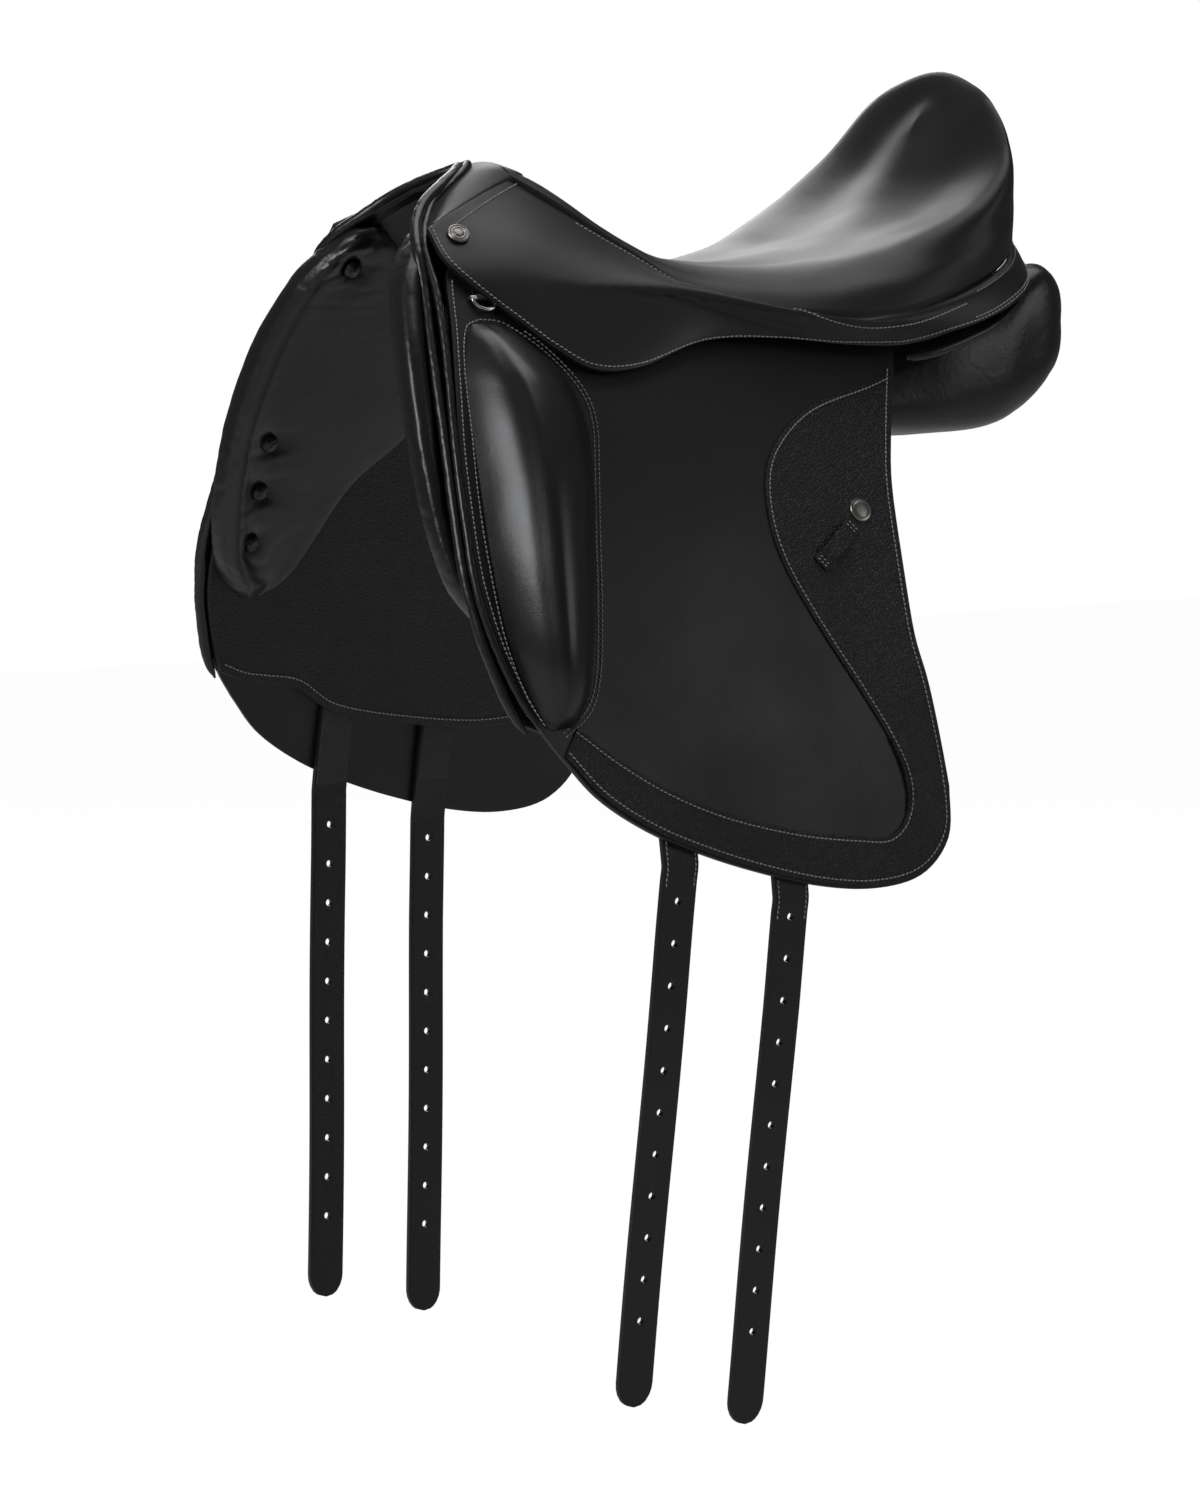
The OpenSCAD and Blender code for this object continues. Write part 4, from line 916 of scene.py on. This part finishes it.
class SADDLE_OT_flaps(Piece, bpy.types.Operator):
    """Outer flaps, sweat flaps and their stitching"""
    bl_idname = "saddle.flaps"
    bl_label = "Flaps"

    def build(self):
        front = smooth(FLAP_FRONT, 6)
        rear = smooth([FLAP_TOP[-1]] + FLAP_REAR[::-1] + [FLAP_LOW[-1]], 6)
        low = smooth(FLAP_LOW, 8)
        rows = patch(front, rear, smooth(FLAP_TOP, 4), low, 84, 64, lambda p: leg_point(p.x, p.y))
        flap = sheet_object("flap", rows, lambda p: Vector((1, 0, 0)))
        shift_points(flap, lambda p, k: k * (0.45 * ripple(p, 90.0, seed=1.0)
                                             * min(1.0, max(0.0, (60 - p.z) / 80))))
        thicken(flap, sizes().leather, 0.0012)
        smooth_shade(flap)
        both_sides(flap, "Smooth Leather", "flap_bend", ("flap_top", "flap"))
        edge = [p for p in front if -158 < p.y < 122]
        rows = [leg_line(square_off(edge, FLAP_ROW), 0.0, 1)]
        both_sides(stitches("flap_stitching", rows), "Thread", "flap_bend")
        rows = patch(smooth(SWEAT_FRONT, 6), smooth(SWEAT_REAR, 6), smooth(SWEAT_TOP, 4),
                     smooth(SWEAT_LOW, 6), 70, 56, lambda p: leg_point(p.x, p.y, SWEAT_DEPTH))
        sweat = sheet_object("sweat_flap", rows, lambda p: Vector((1, 0, 0)))
        thicken(sweat, sizes().leather, 0.0012)
        smooth_shade(sweat)
        both_sides(sweat, "Grained Leather", "root", ("sweat_flap",))
        line = smooth(SWEAT_LOW, 6)
        rows = [[(leg_point(p.x, p.y, SWEAT_DEPTH + 4.0), -leg_normal(p.y))
                 for p in square_off(line, SWEAT_ROW)]]
        both_sides(stitches("sweat_stitching", rows), "Thread", "root")


def trim_edges():
    low = smooth(FLAP_LOW + FLAP_REAR, 4)
    return square_off(low[:-1], 2.0), smooth(TRIM_INNER[::-1], 4)


class SADDLE_OT_trim(Piece, bpy.types.Operator):
    """Grained border and calf patch on the flaps, stitched on both edges"""
    bl_idname = "saddle.trim"
    bl_label = "Grained trim"

    def build(self):
        outer, inner = trim_edges()
        n = 220
        outer, inner = even(outer, n), even(inner, n)
        rows = []
        for a, b in zip(outer, inner):
            rows.append([leg_point(*(a.lerp(b, k / 18)), TRIM_DEPTH) for k in range(19)])
        trim = sheet_object("flap_trim", rows, lambda p: Vector((1, 0, 0)))
        thicken(trim, 0.0012, 0.0005)
        smooth_shade(trim)
        both_sides(trim, "Grained Leather", "flap", ("flap_trim",))
        lines = [leg_line(square_off(outer, TRIM_ROW), TRIM_DEPTH, 1),
                 leg_line(square_off(inner, -TRIM_INNER_ROW), TRIM_DEPTH, 1)]
        both_sides(stitches("trim_stitching", lines), "Thread", "flap")


def block_rings(rows, cols, height):
    rings = []
    for s in rows:
        base = leg_x(s[0]) + 0.3
        ring = []
        for k in range(cols + 1):
            t = k / cols
            ridge = 0.37
            q = t / ridge if t < ridge else (1 - t) / (1 - ridge)
            dome = math.sin(math.pi / 2 * q) ** (0.8 if t < ridge else 0.72) if q > 0 else 0.0
            dome -= 0.035 * math.exp(-((t - 0.24) / 0.06) ** 2)
            ring.append(Vector((base + height * max(s[3], 0.0) * dome, s[1] + (s[2] - s[1]) * t, s[0])))
        for k in range(1, cols):
            t = 1 - k / cols
            ring.append(Vector((base, s[1] + (s[2] - s[1]) * t, s[0])))
        rings.append(ring)
    return rings


class SADDLE_OT_knee_blocks(Piece, bpy.types.Operator):
    """Padded knee blocks with their seams"""
    bl_idname = "saddle.knee_blocks"
    bl_label = "Knee blocks"

    def build(self):
        rows = smooth([s[1:] for s in BLOCK], 7)
        heights = [on_curve([float(s[0]) for s in BLOCK], i / 7) for i in range(len(rows))]
        rows = [(z, r.x, r.y, r.z) for z, r in zip(heights, rows)]
        block = loft_object("knee_block", block_rings(rows, 40, sizes().block / MM))
        lift = sizes().wrinkle / MM

        def move(p, k):
            low = max(0.0, 1 - (p.x - leg_x(p.z)) / 16.0)
            free = 1.0 if p.x > leg_x(p.z) + 1.0 else 0.0
            fold = crease(p, 16.0, (0.6, 1.0, 0.35), 2.0)
            return k * free * (0.5 * ripple(p, 40.0) - lift * 0.9 * low * fold)

        shift_points(block, move)
        smooth_shade(block, 50)
        both_sides(block, "Polished Leather", "flap", ("knee_block",))
        rear = smooth(BLOCK_REAR_ROW, 6)
        rows = [leg_line(smooth(BLOCK_ROW, 6), 0.0, 1), leg_line(rear, 0.0, 1),
                leg_line(square_off(rear, 3.0)[9:], 0.0, 1)]
        both_sides(stitches("block_stitching", rows), "Thread", "flap_bend")


class SADDLE_OT_keepers(Piece, bpy.types.Operator):
    """Keepers for the stirrup leathers"""
    bl_idname = "saddle.keepers"
    bl_label = "Keepers"

    def build(self):
        y, z, length, width, gap = 20.0, -57.0, 42.0, 12.0, 3.0
        turn = math.radians(38.0)
        n = leg_normal(z)
        down = Vector((n.z, 0.0, -n.x))
        along = Vector((0, 1, 0))
        base = leg_point(y, z, TRIM_DEPTH)
        a = math.cos(turn) * along - math.sin(turn) * down
        b = math.sin(turn) * along + math.cos(turn) * down
        rows = []
        steps = 40
        for i in range(steps + 1):
            s = -length / 2 + length * i / steps
            rise = min(1.0, max(0.0, (length / 2 - abs(s) - 4.0) / 6.0))
            rise = rise * rise * (3 - 2 * rise)
            sag = 1.0 - 0.12 * (1 - (2 * s / length) ** 2)
            up = 1.6 + (gap + 0.4) * rise * sag
            rows.append([base + a * s + b * (width * (k / 10 - 0.5)) + n * up for k in range(11)])
        strap = sheet_object("keeper", rows, lambda p: Vector((1, 0, 0)))
        thicken(strap, 0.0016, 0.0005)
        smooth_shade(strap)
        both_sides(strap, "Grained Leather", "flap", ("keeper",))
        lines = []
        for end in (-1, 1):
            for off in (1.6, 4.4):
                s = end * (length / 2 - off)
                lines.append([(base + a * s + b * w + n * 1.6, n) for w in (-4.6, -2.0, 0.0, 2.0, 4.6)])
        both_sides(stitches("keeper_stitching", lines, pitch=0.0026), "Thread", "flap")


def turned_piece(name, profile, place, normal, segments=64):
    """Round fitting spun from a profile of (radius, height) in mm, standing on a place."""
    deselect()
    bpy.ops.mesh.primitive_circle_add(vertices=segments, radius=profile[0][0] * MM,
                                      location=(0, 0, profile[0][1] * MM))
    obj = bpy.context.object
    obj.name = name
    bpy.ops.object.mode_set(mode="EDIT")
    bpy.ops.mesh.select_all(action="SELECT")
    last = profile[0]
    for r, h in profile[1:]:
        bpy.ops.mesh.extrude_region_move(TRANSFORM_OT_translate={"value": (0, 0, (h - last[1]) * MM)})
        if last[0] > 0 and abs(r - last[0]) > 1e-6:
            k = max(r, 0.01) / last[0]
            bpy.ops.transform.resize(value=(k, k, 1), center_override=(0, 0, h * MM))
        last = (max(r, 0.01), h)
    bpy.ops.mesh.select_all(action="SELECT")
    bpy.ops.object.mode_set(mode="OBJECT")
    turn = Vector((0, 0, 1)).rotation_difference(Vector(normal).normalized()).to_matrix().to_4x4()
    obj.data.transform(Matrix.Translation(Vector(place) * MM) @ turn)
    obj.matrix_world = Matrix.Identity(4)
    tidy(obj, merge=0.000012)
    return obj


class SADDLE_OT_studs(Piece, bpy.types.Operator):
    """Round studs at the front of the skirts and badges on the flaps, with plain rings"""
    bl_idname = "saddle.studs"
    bl_label = "Studs and badges"

    def build(self):
        rings = [(7.5, -0.2), (7.5, 0.9), (7.0, 1.5), (6.4, 1.6), (6.0, 1.25), (5.6, 1.2), (5.2, 1.6),
                 (4.5, 1.7), (4.1, 1.35), (3.6, 1.3), (3.2, 1.7), (2.2, 1.9), (0.9, 2.0), (0.0, 2.0)]
        u, v, h = 0.34, 0.84, 0.01
        p = band_point(u, v)
        du = band_point(u + h, v) - band_point(u - h, v)
        dv = band_point(u, v + h) - band_point(u, v - h)
        n = dv.cross(du).normalized()
        n = n if n.x > 0 else -n
        column = skirt_column(u, 60)
        nearest = min(column, key=lambda c: (c - p).length)
        stud = turned_piece("skirt_stud", rings, nearest + n * 0.7, n)
        smooth_shade(stud, 35)
        both_sides(stud, "Pewter", "root", ("skirt_stud",))
        rings = [(8.0, 0.0), (8.0, 0.9), (7.5, 1.5), (6.9, 1.6), (6.4, 1.2), (6.0, 1.15), (5.6, 1.45),
                 (3.6, 1.75), (1.5, 1.8), (0.0, 1.8)]
        badge = turned_piece("flap_badge", rings, leg_point(45.0, -36.0, -1.3), leg_normal(-36.0))
        smooth_shade(badge, 35)
        both_sides(badge, "Pewter", "flap", ("flap_badge",))


class SADDLE_OT_welts(Piece, bpy.types.Operator):
    """Two welts down the front edge, from the middle of the head"""
    bl_idname = "saddle.welts"
    bl_label = "Welts"

    def build(self):
        outer = vectors(WELT_HEAD) + [leg_point(y, z, 9.0) for y, z in WELT]
        inner = vectors(PIPING_HEAD) + [leg_point(y, z, 1.6) for y, z in PIPING]
        for name, line, radius in (("front_welt", outer, 4.0), ("inner_welt", inner, 2.8)):
            near = smooth(line, 12)
            near = [p for p in near if p.x >= 0]
            whole = even([Vector((-p.x, p.y, p.z)) for p in near[:0:-1]] + near, 560)
            whole = [p for p in whole if p.x >= -0.01]
            whole[0].x = 0.0
            welt = tube_object(name, whole, lambda s, r=radius: r * (1.0 if s < 0.93 else math.sqrt(
                max(0.06, 1 - ((s - 0.93) / 0.07) ** 2))), 18)
            shift_points(welt, lambda p, k: k * min(1.0, p.x / 8) * (
                -0.3 * crease(p, 9.0, (0.5, 0.5, 1.2), 7.0) + 0.15 * ripple(p, 12.0)))
            smooth_shade(welt, 60)
            both_sides(welt, "Polished Leather", "root",
                       ("welts",) if name == "front_welt" else ())


class SADDLE_OT_billets(Piece, bpy.types.Operator):
    """Girth billets with punched holes and the webs that carry them"""
    bl_idname = "saddle.billets"
    bl_label = "Girth billets"

    def build(self):
        for name, y0, z0, length, drop in BILLETS:
            half, thick, tip = 13.0, 4.0, 16.0
            x0 = leg_x(z0, 7.0)
            turn = Matrix.Rotation(LEAN_IN, 3, "Y") @ Matrix.Rotation(-LEAN_FRONT, 3, "X")

            def place(w, s):
                """Point of the strap's outer face: w across, s down from the bend (up where negative)."""
                if s < 0:
                    z = z0 - s
                    return leg_point(y0 + w, z, BILLET_DEPTH)
                if s < 10.0:
                    top = leg_point(y0 + w, z0, BILLET_DEPTH)
                    free = Vector((x0, y0, z0)) + turn @ Vector((2.0, w, -s))
                    f = s / 10.0
                    f = f * f * (3 - 2 * f)
                    return (top + Vector((0, 0, -s))).lerp(free, f)
                sway = 1.3 * math.sin(s / 46.0 + y0) * min(1.0, (s - 10) / 60.0) * 0.6
                return Vector((x0, y0, z0)) + turn @ Vector((2.0 + sway, w, -s))

            steps = [10.0 * k - 140.0 for k in range(14)]
            steps += [k * 4.0 for k in range(int((length - 4) // 4) + 1)]
            steps = [s for s in steps if s < length - 0.5] + [length - 3.0, length - 1.2, length]
            rows = []
            for s in steps:
                left = length - s
                wide = 1.0 if left > tip else math.sqrt(max(0.0, 1 - ((tip - left) / tip) ** 2)) * 0.96 + 0.04
                rows.append([place(half * wide * (k / 6 - 1), s) for k in range(13)])
            strap = sheet_object(name + "_billet", rows, lambda p: Vector((1, 0, 0)))
            apply_modifier(strap, "SOLIDIFY", thickness=thick * MM, offset=-1.0)
            deselect()
            cutters = []
            for k in range(HOLES):
                s = drop + HOLE_PITCH * k
                c = place(0.0, s)
                d = turn @ Vector((1, 0, 0))
                bpy.ops.mesh.primitive_cylinder_add(vertices=24, radius=HOLE_RADIUS * MM, depth=14 * MM)
                pin = bpy.context.object
                pin.data.transform(Matrix.Translation((c - d * 2.0) * MM)
                                   @ Vector((0, 0, 1)).rotation_difference(d).to_matrix().to_4x4())
                cutters.append(pin)
            make_active(cutters[0])
            for pin in cutters:
                pin.select_set(True)
            bpy.ops.object.join()
            cutter = bpy.context.object
            apply_modifier(strap, "BOOLEAN", operation="DIFFERENCE", solver="EXACT", object=cutter)
            bpy.data.objects.remove(cutter)
            apply_modifier(strap, "BEVEL", width=0.0009, segments=2, limit_method="ANGLE",
                           angle_limit=math.radians(60))
            smooth_shade(strap, 35)
            both_sides(strap, "Strap Leather", (name, y0, z0),
                       (name + "_billet",) + (("billet_tops",) if name == "front" else ()))
            places = [5.0 * k - 130.0 for k in range(26)] + [0.5, 3.0, 6.0, 10.0, 15.0]
            lines = [[(place(w, s), turn @ Vector((1, 0, 0))) for s in places] for w in (-10.6, 10.6)]
            both_sides(stitches(name + "_billet_stitching", lines), "Thread", (name, y0, z0))
        rows = []
        for y, shift, low in ((-133.0, 0.0, -245.0), (-50.0, 62.0, -247.0)):
            top = 114.0 if not shift else 75.0
            line = []
            for i in range(71):
                z = low + (top - low) * i / 70
                move = shift * min(1.0, max(0.0, (z - 20.0) / 55.0))
                line.append([leg_point(y + move + 12.0 * (k / 5 - 1), z, WEB_DEPTH) for k in range(11)])
            rows.append(line)
        for i, line in enumerate(rows):
            web = sheet_object("girth_web_%d" % (i + 1), line, lambda p: Vector((1, 0, 0)))
            thicken(web, 0.0015, 0.0004)
            smooth_shade(web)
            both_sides(web, "Webbing", "root", ("girth_webs",) if i == 0 else ())


def front_panel_ring(z, front, rear, t, depth):
    long = rear - front
    fat = min(22.0, long * 0.45, 6 + 2.2 * t)
    out = fat / 22.0
    shift = on_curve(ROLL_SHIFT_F, (len(ROLL_SHIFT) - 1) * (ROLL_TOP - z) / ROLL_LENGTH)
    shape = [(0, 0.97, "l"), (0, 0.7, "l"), (0, 1.5, "f"), (-3 * out, 0.95, "f"), (-8.5 * out, 0.66, "f"),
             (-12 * out, 0.36, "f"), (-10 * out, 0.06, "f"), (-4 * out, -0.02, "f"), (3 * out, 0.0, "f"),
             (0.34 * fat, 0.1, "f"), (0.64 * fat, 0.4, "f"), (t + 0.1 * fat, 1.15, "f"), (t, 0.7, "l"),
             (0.7 * t, 0.95, "l"), (0.35 * t, 1.0, "l")]
    ring = []
    for d, k, w in shape:
        move = shift * (1.0 if k < 0.9 else 0.5) if w == "f" and d != 0 else 0.0
        ring.append(leg_point(front + (k * long if w == "l" else k * fat), z, depth + d + move))
    return ring


def panel_ring(s, count):
    ring = []
    for k in range(count):
        a = 2 * math.pi * k / count
        c, n = math.cos(a), math.sin(a)
        q, w = math.copysign(abs(c) ** 0.62, c), math.copysign(abs(n) ** 0.62, n)
        u, v = (1 + q) / 2, (1 + w) / 2
        top = s[1] * (1 - u) + s[2] * u
        low = s[4] * (1 - u) + s[3] * u
        m = low * (1 - v) + top * v
        ring.append(Vector((m.x, s[0], m.y)))
    return ring


class SADDLE_OT_panels(Piece, bpy.types.Operator):
    """Wool-filled panels, the rolled front panels and their tufting buttons"""
    bl_idname = "saddle.panels"
    bl_label = "Panels"

    def build(self):
        rows = smooth([s[:3] for s in FRONT_PANEL], 6)
        thick = [on_curve([float(s[3]) for s in FRONT_PANEL], i / 6) for i in range(len(rows))]
        rings = []
        for r, t in zip(rows, thick):
            ring = front_panel_ring(r.x, r.y, r.z, t, PANEL_DEPTH)
            around = smooth(ring + [ring[0]], 4)[:-1]
            rings.append(around)
        roll = loft_object("front_panel", rings)
        lift = sizes().wrinkle / MM
        centres = []
        for y, z in BUTTONS:
            start, way = leg_point(y, z, 90.0) * MM, leg_normal(z)
            found, place, normal, _ = roll.ray_cast(start, way)
            centres.append((place / MM, normal) if found else (leg_point(y, z, PANEL_DEPTH + 11.0), -way))

        def move(p, k):
            near = max(math.exp(-((p - c).length / 9.0) ** 2) for c, _ in centres)
            wide = max(math.exp(-((p - c).length / 24.0) ** 2) for c, _ in centres)
            return k * (-4.2 * near + 0.45 * ripple(p, 26.0, seed=3.0)
                        - lift * (0.25 + 1.5 * wide) * crease(p, 15.0, (0.8, 0.55, 1.3), 5.0))

        apply_modifier(roll, "SUBSURF", levels=1, render_levels=1)
        shift_points(roll, move)
        smooth_shade(roll, 70)
        both_sides(roll, "Panel Leather", "root", ("front_panel",))
        buttons = []
        for number, (c, n) in enumerate(centres):
            deselect()
            bpy.ops.mesh.primitive_uv_sphere_add(segments=28, ring_count=18, radius=6.6 * MM)
            knob = bpy.context.object
            knob.data.transform(Matrix.Diagonal((1, 1, 0.62, 1)))
            knob.data.transform(Matrix.Translation((c - n * 2.6) * MM)
                                @ Vector((0, 0, 1)).rotation_difference(n).to_matrix().to_4x4())
            shift_points(knob, lambda p, k: k * -0.6 * crease(p, 4.5, seed=number + 0.3))
            buttons.append(knob)
        make_active(buttons[0])
        for b in buttons:
            b.select_set(True)
        bpy.ops.object.join()
        knobs = bpy.context.object
        knobs.name = "tuft_buttons"
        knobs.matrix_world = Matrix.Identity(4)
        smooth_shade(knobs, 60)
        both_sides(knobs, "Panel Leather", "root", ("tuft_buttons",))
        flat = [[Vector((s[0], 0, 0))] + [Vector((q[0], q[1], 0)) for q in s[1:]] for s in PANEL]
        rings = []
        for i in range(6 * (len(PANEL) - 1) + 1):
            station = [on_curve([f[k] for f in flat], i / 6) for k in range(5)]
            rings.append(panel_ring((station[0].x, station[1], station[2], station[3], station[4]), 56))
        pad = loft_object("panel", rings)
        shift_points(pad, lambda p, k: k * (0.5 * ripple(p, 30.0, seed=9.0)
                                            - lift * 0.6 * crease(p, 22.0, (1.0, 0.8, 0.8), 1.0)
                                            * (1.0 if p.z > 20 else 0.4)))
        smooth_shade(pad, 70)
        both_sides(pad, "Panel Leather", "root", ("panel",))
        rim = tube_object("panel_rim", even(smooth(RIM_PATH, 12), 120),
                          lambda s: 3.5 if 0.02 < s < 0.98 else 2.2)
        smooth_shade(rim, 60)
        both_sides(rim, "Panel Leather", "root", ("panel_rim",))


class SADDLE_OT_pommel(Piece, bpy.types.Operator):
    """Leather over the head between welts and seat, with its cross seam"""
    bl_idname = "saddle.pommel"
    bl_label = "Pommel cover"

    def build(self):
        steps, cols = 36, 12
        front = even(smooth(PIPING_HEAD[:6], 10), steps)
        seam = [(0, -114, 182.2), (10, -117.5, 182.6), (19.5, -125.5, 182.4)]
        seam += [band_point(0, v) + Vector((0, 0, 0.3)) for v in (0.02, 0.2, 0.4, 0.6, 0.8, 0.93)]
        back = even(smooth(seam, 10), steps)
        rows = []
        for k in range(-steps, steps + 1):
            a, b = front[abs(k)] + Vector((0, 0.8, -0.6)), back[abs(k)]
            wide = math.cos(math.pi / 2 * min(1.0, abs(k) / steps))
            away = Vector((0.55 * min(1.0, abs(k) / 14), -0.35, 0.8)).normalized()
            row = [a + Vector((0, 2.0, -6.0)), a + Vector((0, 0.3, -2.5))]
            for j in range(cols + 1):
                v = j / cols
                row.append(a.lerp(b, v) + away * (2.0 + 3.2 * wide) * math.sin(math.pi * v) ** 0.8)
            row += [b + Vector((0, 0.8, -1.6)), b + Vector((0, 1.6, -4.0))]
            rows.append([Vector((math.copysign(p.x, k), p.y, p.z)) for p in row])
        cover = sheet_object("pommel_cover", rows, lambda p: Vector((p.x, -0.02, 0.1)))
        thicken(cover, 0.002, 0.0)
        smooth_shade(cover, 60)
        single(cover, "Smooth Leather", nodes=("pommel_cover",))
        steps = 30
        top = [p + Vector((0, 2.5, -2.5)) for p in vectors(WELT_HEAD)] + [leg_point(-226, 110, 12)]
        top, low = even(smooth(top, 8), steps), even(smooth(FACING_LOW, 8), steps)
        rows = []
        for k in range(-steps, steps + 1):
            a, b = top[abs(k)], low[abs(k)]
            row = [a.lerp(b, j / 10) + Vector((0.1 * b.x / 60, -1, 0.35)) * 6.0 * math.sin(math.pi * j / 10)
                   for j in range(11)]
            rows.append([Vector((math.copysign(p.x, k), p.y, p.z)) for p in row])
        facing = sheet_object("head_facing", rows, lambda p: Vector((0, -1, 0)))
        shift_points(facing, lambda p, k: k * 0.5 * ripple(p, 24.0, seed=6.0))
        thicken(facing, 0.002, 0.0)
        smooth_shade(facing, 60)
        single(facing, "Polished Leather")
        line = []
        for i in range(61):
            v = 0.03 + 0.87 * i / 60
            p, q = band_point(0.16 + 0.05 * v, v), band_point(0.16 + 0.05 * v, min(1.0, v + 0.02))
            side = band_point(0.26, v) - p
            normal = (q - p).cross(side).normalized()
            line.append((p, normal if normal.x > 0 else -normal))
        both_sides(stitches("pommel_stitching", [line]), "Thread", "root")


class SADDLE_OT_hardware(Piece, bpy.types.Operator):
    """Finishes on tree, head plate, springs, bars, rings and other solid pieces"""
    bl_idname = "saddle.hardware"
    bl_label = "Tree and fittings"

    def build(self):
        wanted = {"tree": "Beech", "head_plate": "Ground Steel", "spring_steels": "Ground Steel",
                  "tree_rivets": "Ground Steel", "seat_webs": "Canvas", "gullet_lining": "Smooth Leather"}
        for side, _ in SIDES:
            for node, name in (("stirrup_bar", "Ground Steel"), ("bar_catch", "Ground Steel"),
                               ("saddle_ring", "Polished Steel"), ("ring_chape", "Smooth Leather"),
                               ("billet_tops", "Strap Leather"), ("rear_billet", "Strap Leather"),
                               ("girth_webs", "Webbing")):
                wanted[node + "_" + side] = name
        for node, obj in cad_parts.items():
            name = wanted.get(node, "Smooth Leather")
            mesh_material = finish(name)
            if not obj.material_slots:
                obj.data.materials.append(mesh_material)
            for slot in obj.material_slots:
                slot.material = mesh_material


class SADDLE_OT_stage(Piece, bpy.types.Operator):
    """Pale floor, soft studio light and the camera"""
    bl_idname = "saddle.stage"
    bl_label = "Stage"

    def build(self):
        scene = bpy.context.scene
        deselect()
        bpy.ops.mesh.primitive_plane_add(size=9.0, location=(0, 0, -0.66))
        floor = bpy.context.object
        floor.name = "floor"
        material, tree, bsdf = shader("Floor")
        bsdf.inputs["Base Color"].default_value = (0.62, 0.62, 0.62, 1)
        bsdf.inputs["Roughness"].default_value = 1.0
        glow = tree.nodes.new("ShaderNodeEmission")
        glow.inputs["Color"].default_value = (1, 1, 1, 1)
        glow.inputs["Strength"].default_value = 1.05
        path = tree.nodes.new("ShaderNodeLightPath")
        mix = tree.nodes.new("ShaderNodeMixShader")
        part = math_node(tree, "MULTIPLY", path.outputs["Is Camera Ray"], 0.93)
        tree.links.new(part, mix.inputs[0])
        tree.links.new(bsdf.outputs[0], mix.inputs[1])
        tree.links.new(glow.outputs[0], mix.inputs[2])
        tree.links.new(mix.outputs[0], tree.nodes["Material Output"].inputs["Surface"])
        floor.data.materials.append(material)
        world = bpy.data.worlds.new("Studio")
        scene.world = world
        world.use_nodes = True
        tree = world.node_tree
        back = tree.nodes["Background"]
        back.inputs["Color"].default_value = (0.9, 0.93, 1.0, 1)
        back.inputs["Strength"].default_value = 0.10
        white = tree.nodes.new("ShaderNodeBackground")
        white.inputs["Color"].default_value = (1, 1, 1, 1)
        white.inputs["Strength"].default_value = 1.0
        path = tree.nodes.new("ShaderNodeLightPath")
        seen = math_node(tree, "MAXIMUM", path.outputs["Is Camera Ray"], path.outputs["Is Transmission Ray"])
        mix = tree.nodes.new("ShaderNodeMixShader")
        tree.links.new(seen, mix.inputs[0])
        tree.links.new(back.outputs[0], mix.inputs[1])
        tree.links.new(white.outputs[0], mix.inputs[2])
        tree.links.new(mix.outputs[0], tree.nodes["World Output"].inputs["Surface"])
        for name, place, aim, size, power, colour in LAMPS:
            lamp = bpy.data.lights.new(name, "AREA")
            lamp.shape = "RECTANGLE"
            lamp.size, lamp.size_y = size
            lamp.energy = power
            lamp.color = colour
            obj = bpy.data.objects.new(name, lamp)
            obj.location = place
            obj.rotation_euler = (Vector(aim) - Vector(place)).to_track_quat("-Z", "Y").to_euler()
            scene.collection.objects.link(obj)
        az, el = math.radians(CAMERA_TURN), math.radians(CAMERA_HEIGHT)
        target = Vector(CAMERA_TARGET)
        away = Vector((math.sin(az) * math.cos(el), -math.cos(az) * math.cos(el), math.sin(el)))
        eye = target + CAMERA_DISTANCE * away
        cam = bpy.data.cameras.new("Camera")
        cam.sensor_fit = "VERTICAL"
        cam.sensor_height = 36.0
        cam.sensor_width = 36.0
        cam.lens = 36.0 * CAMERA_FOCUS
        obj = bpy.data.objects.new("Camera", cam)
        obj.location = eye
        obj.rotation_euler = (target - eye).to_track_quat("-Z", "Y").to_euler()
        scene.collection.objects.link(obj)
        scene.camera = obj
        scene.view_settings.view_transform = "Standard"


class SADDLE_PT_panel(bpy.types.Panel):
    """Sidebar list of the saddle's pieces"""
    bl_label = "Dressage Saddle"
    bl_idname = "SADDLE_PT_panel"
    bl_space_type = "VIEW_3D"
    bl_region_type = "UI"
    bl_category = "Saddle"

    def draw(self, context):
        layout = self.layout
        for group_name in ("saddle_sizes", "saddle_looks"):
            values = getattr(context.scene, group_name)
            for key in values.bl_rna.properties.keys():
                if key not in ("rna_type", "name"):
                    layout.prop(values, key)
        for cls in OPERATORS:
            layout.operator(cls.bl_idname)


OPERATORS = (SADDLE_OT_stage, SADDLE_OT_hardware, SADDLE_OT_seat, SADDLE_OT_skirts, SADDLE_OT_skirt_seams,
             SADDLE_OT_flaps, SADDLE_OT_trim, SADDLE_OT_knee_blocks, SADDLE_OT_keepers, SADDLE_OT_studs,
             SADDLE_OT_welts, SADDLE_OT_billets, SADDLE_OT_panels, SADDLE_OT_pommel)
CLASSES = (SaddleSizes, SaddleLooks) + OPERATORS + (SADDLE_PT_panel,)


def register():
    for cls in CLASSES:
        bpy.utils.register_class(cls)
    bpy.types.Scene.saddle_sizes = PointerProperty(type=SaddleSizes)
    bpy.types.Scene.saddle_looks = PointerProperty(type=SaddleLooks)


def unregister():
    del bpy.types.Scene.saddle_looks
    del bpy.types.Scene.saddle_sizes
    for cls in reversed(CLASSES):
        bpy.utils.unregister_class(cls)


def main():
    register()
    for cls in OPERATORS:
        getattr(bpy.ops.saddle, cls.bl_idname.split(".")[1])()
    bpy.context.view_layer.update()


if __name__ == "__main__":
    main()
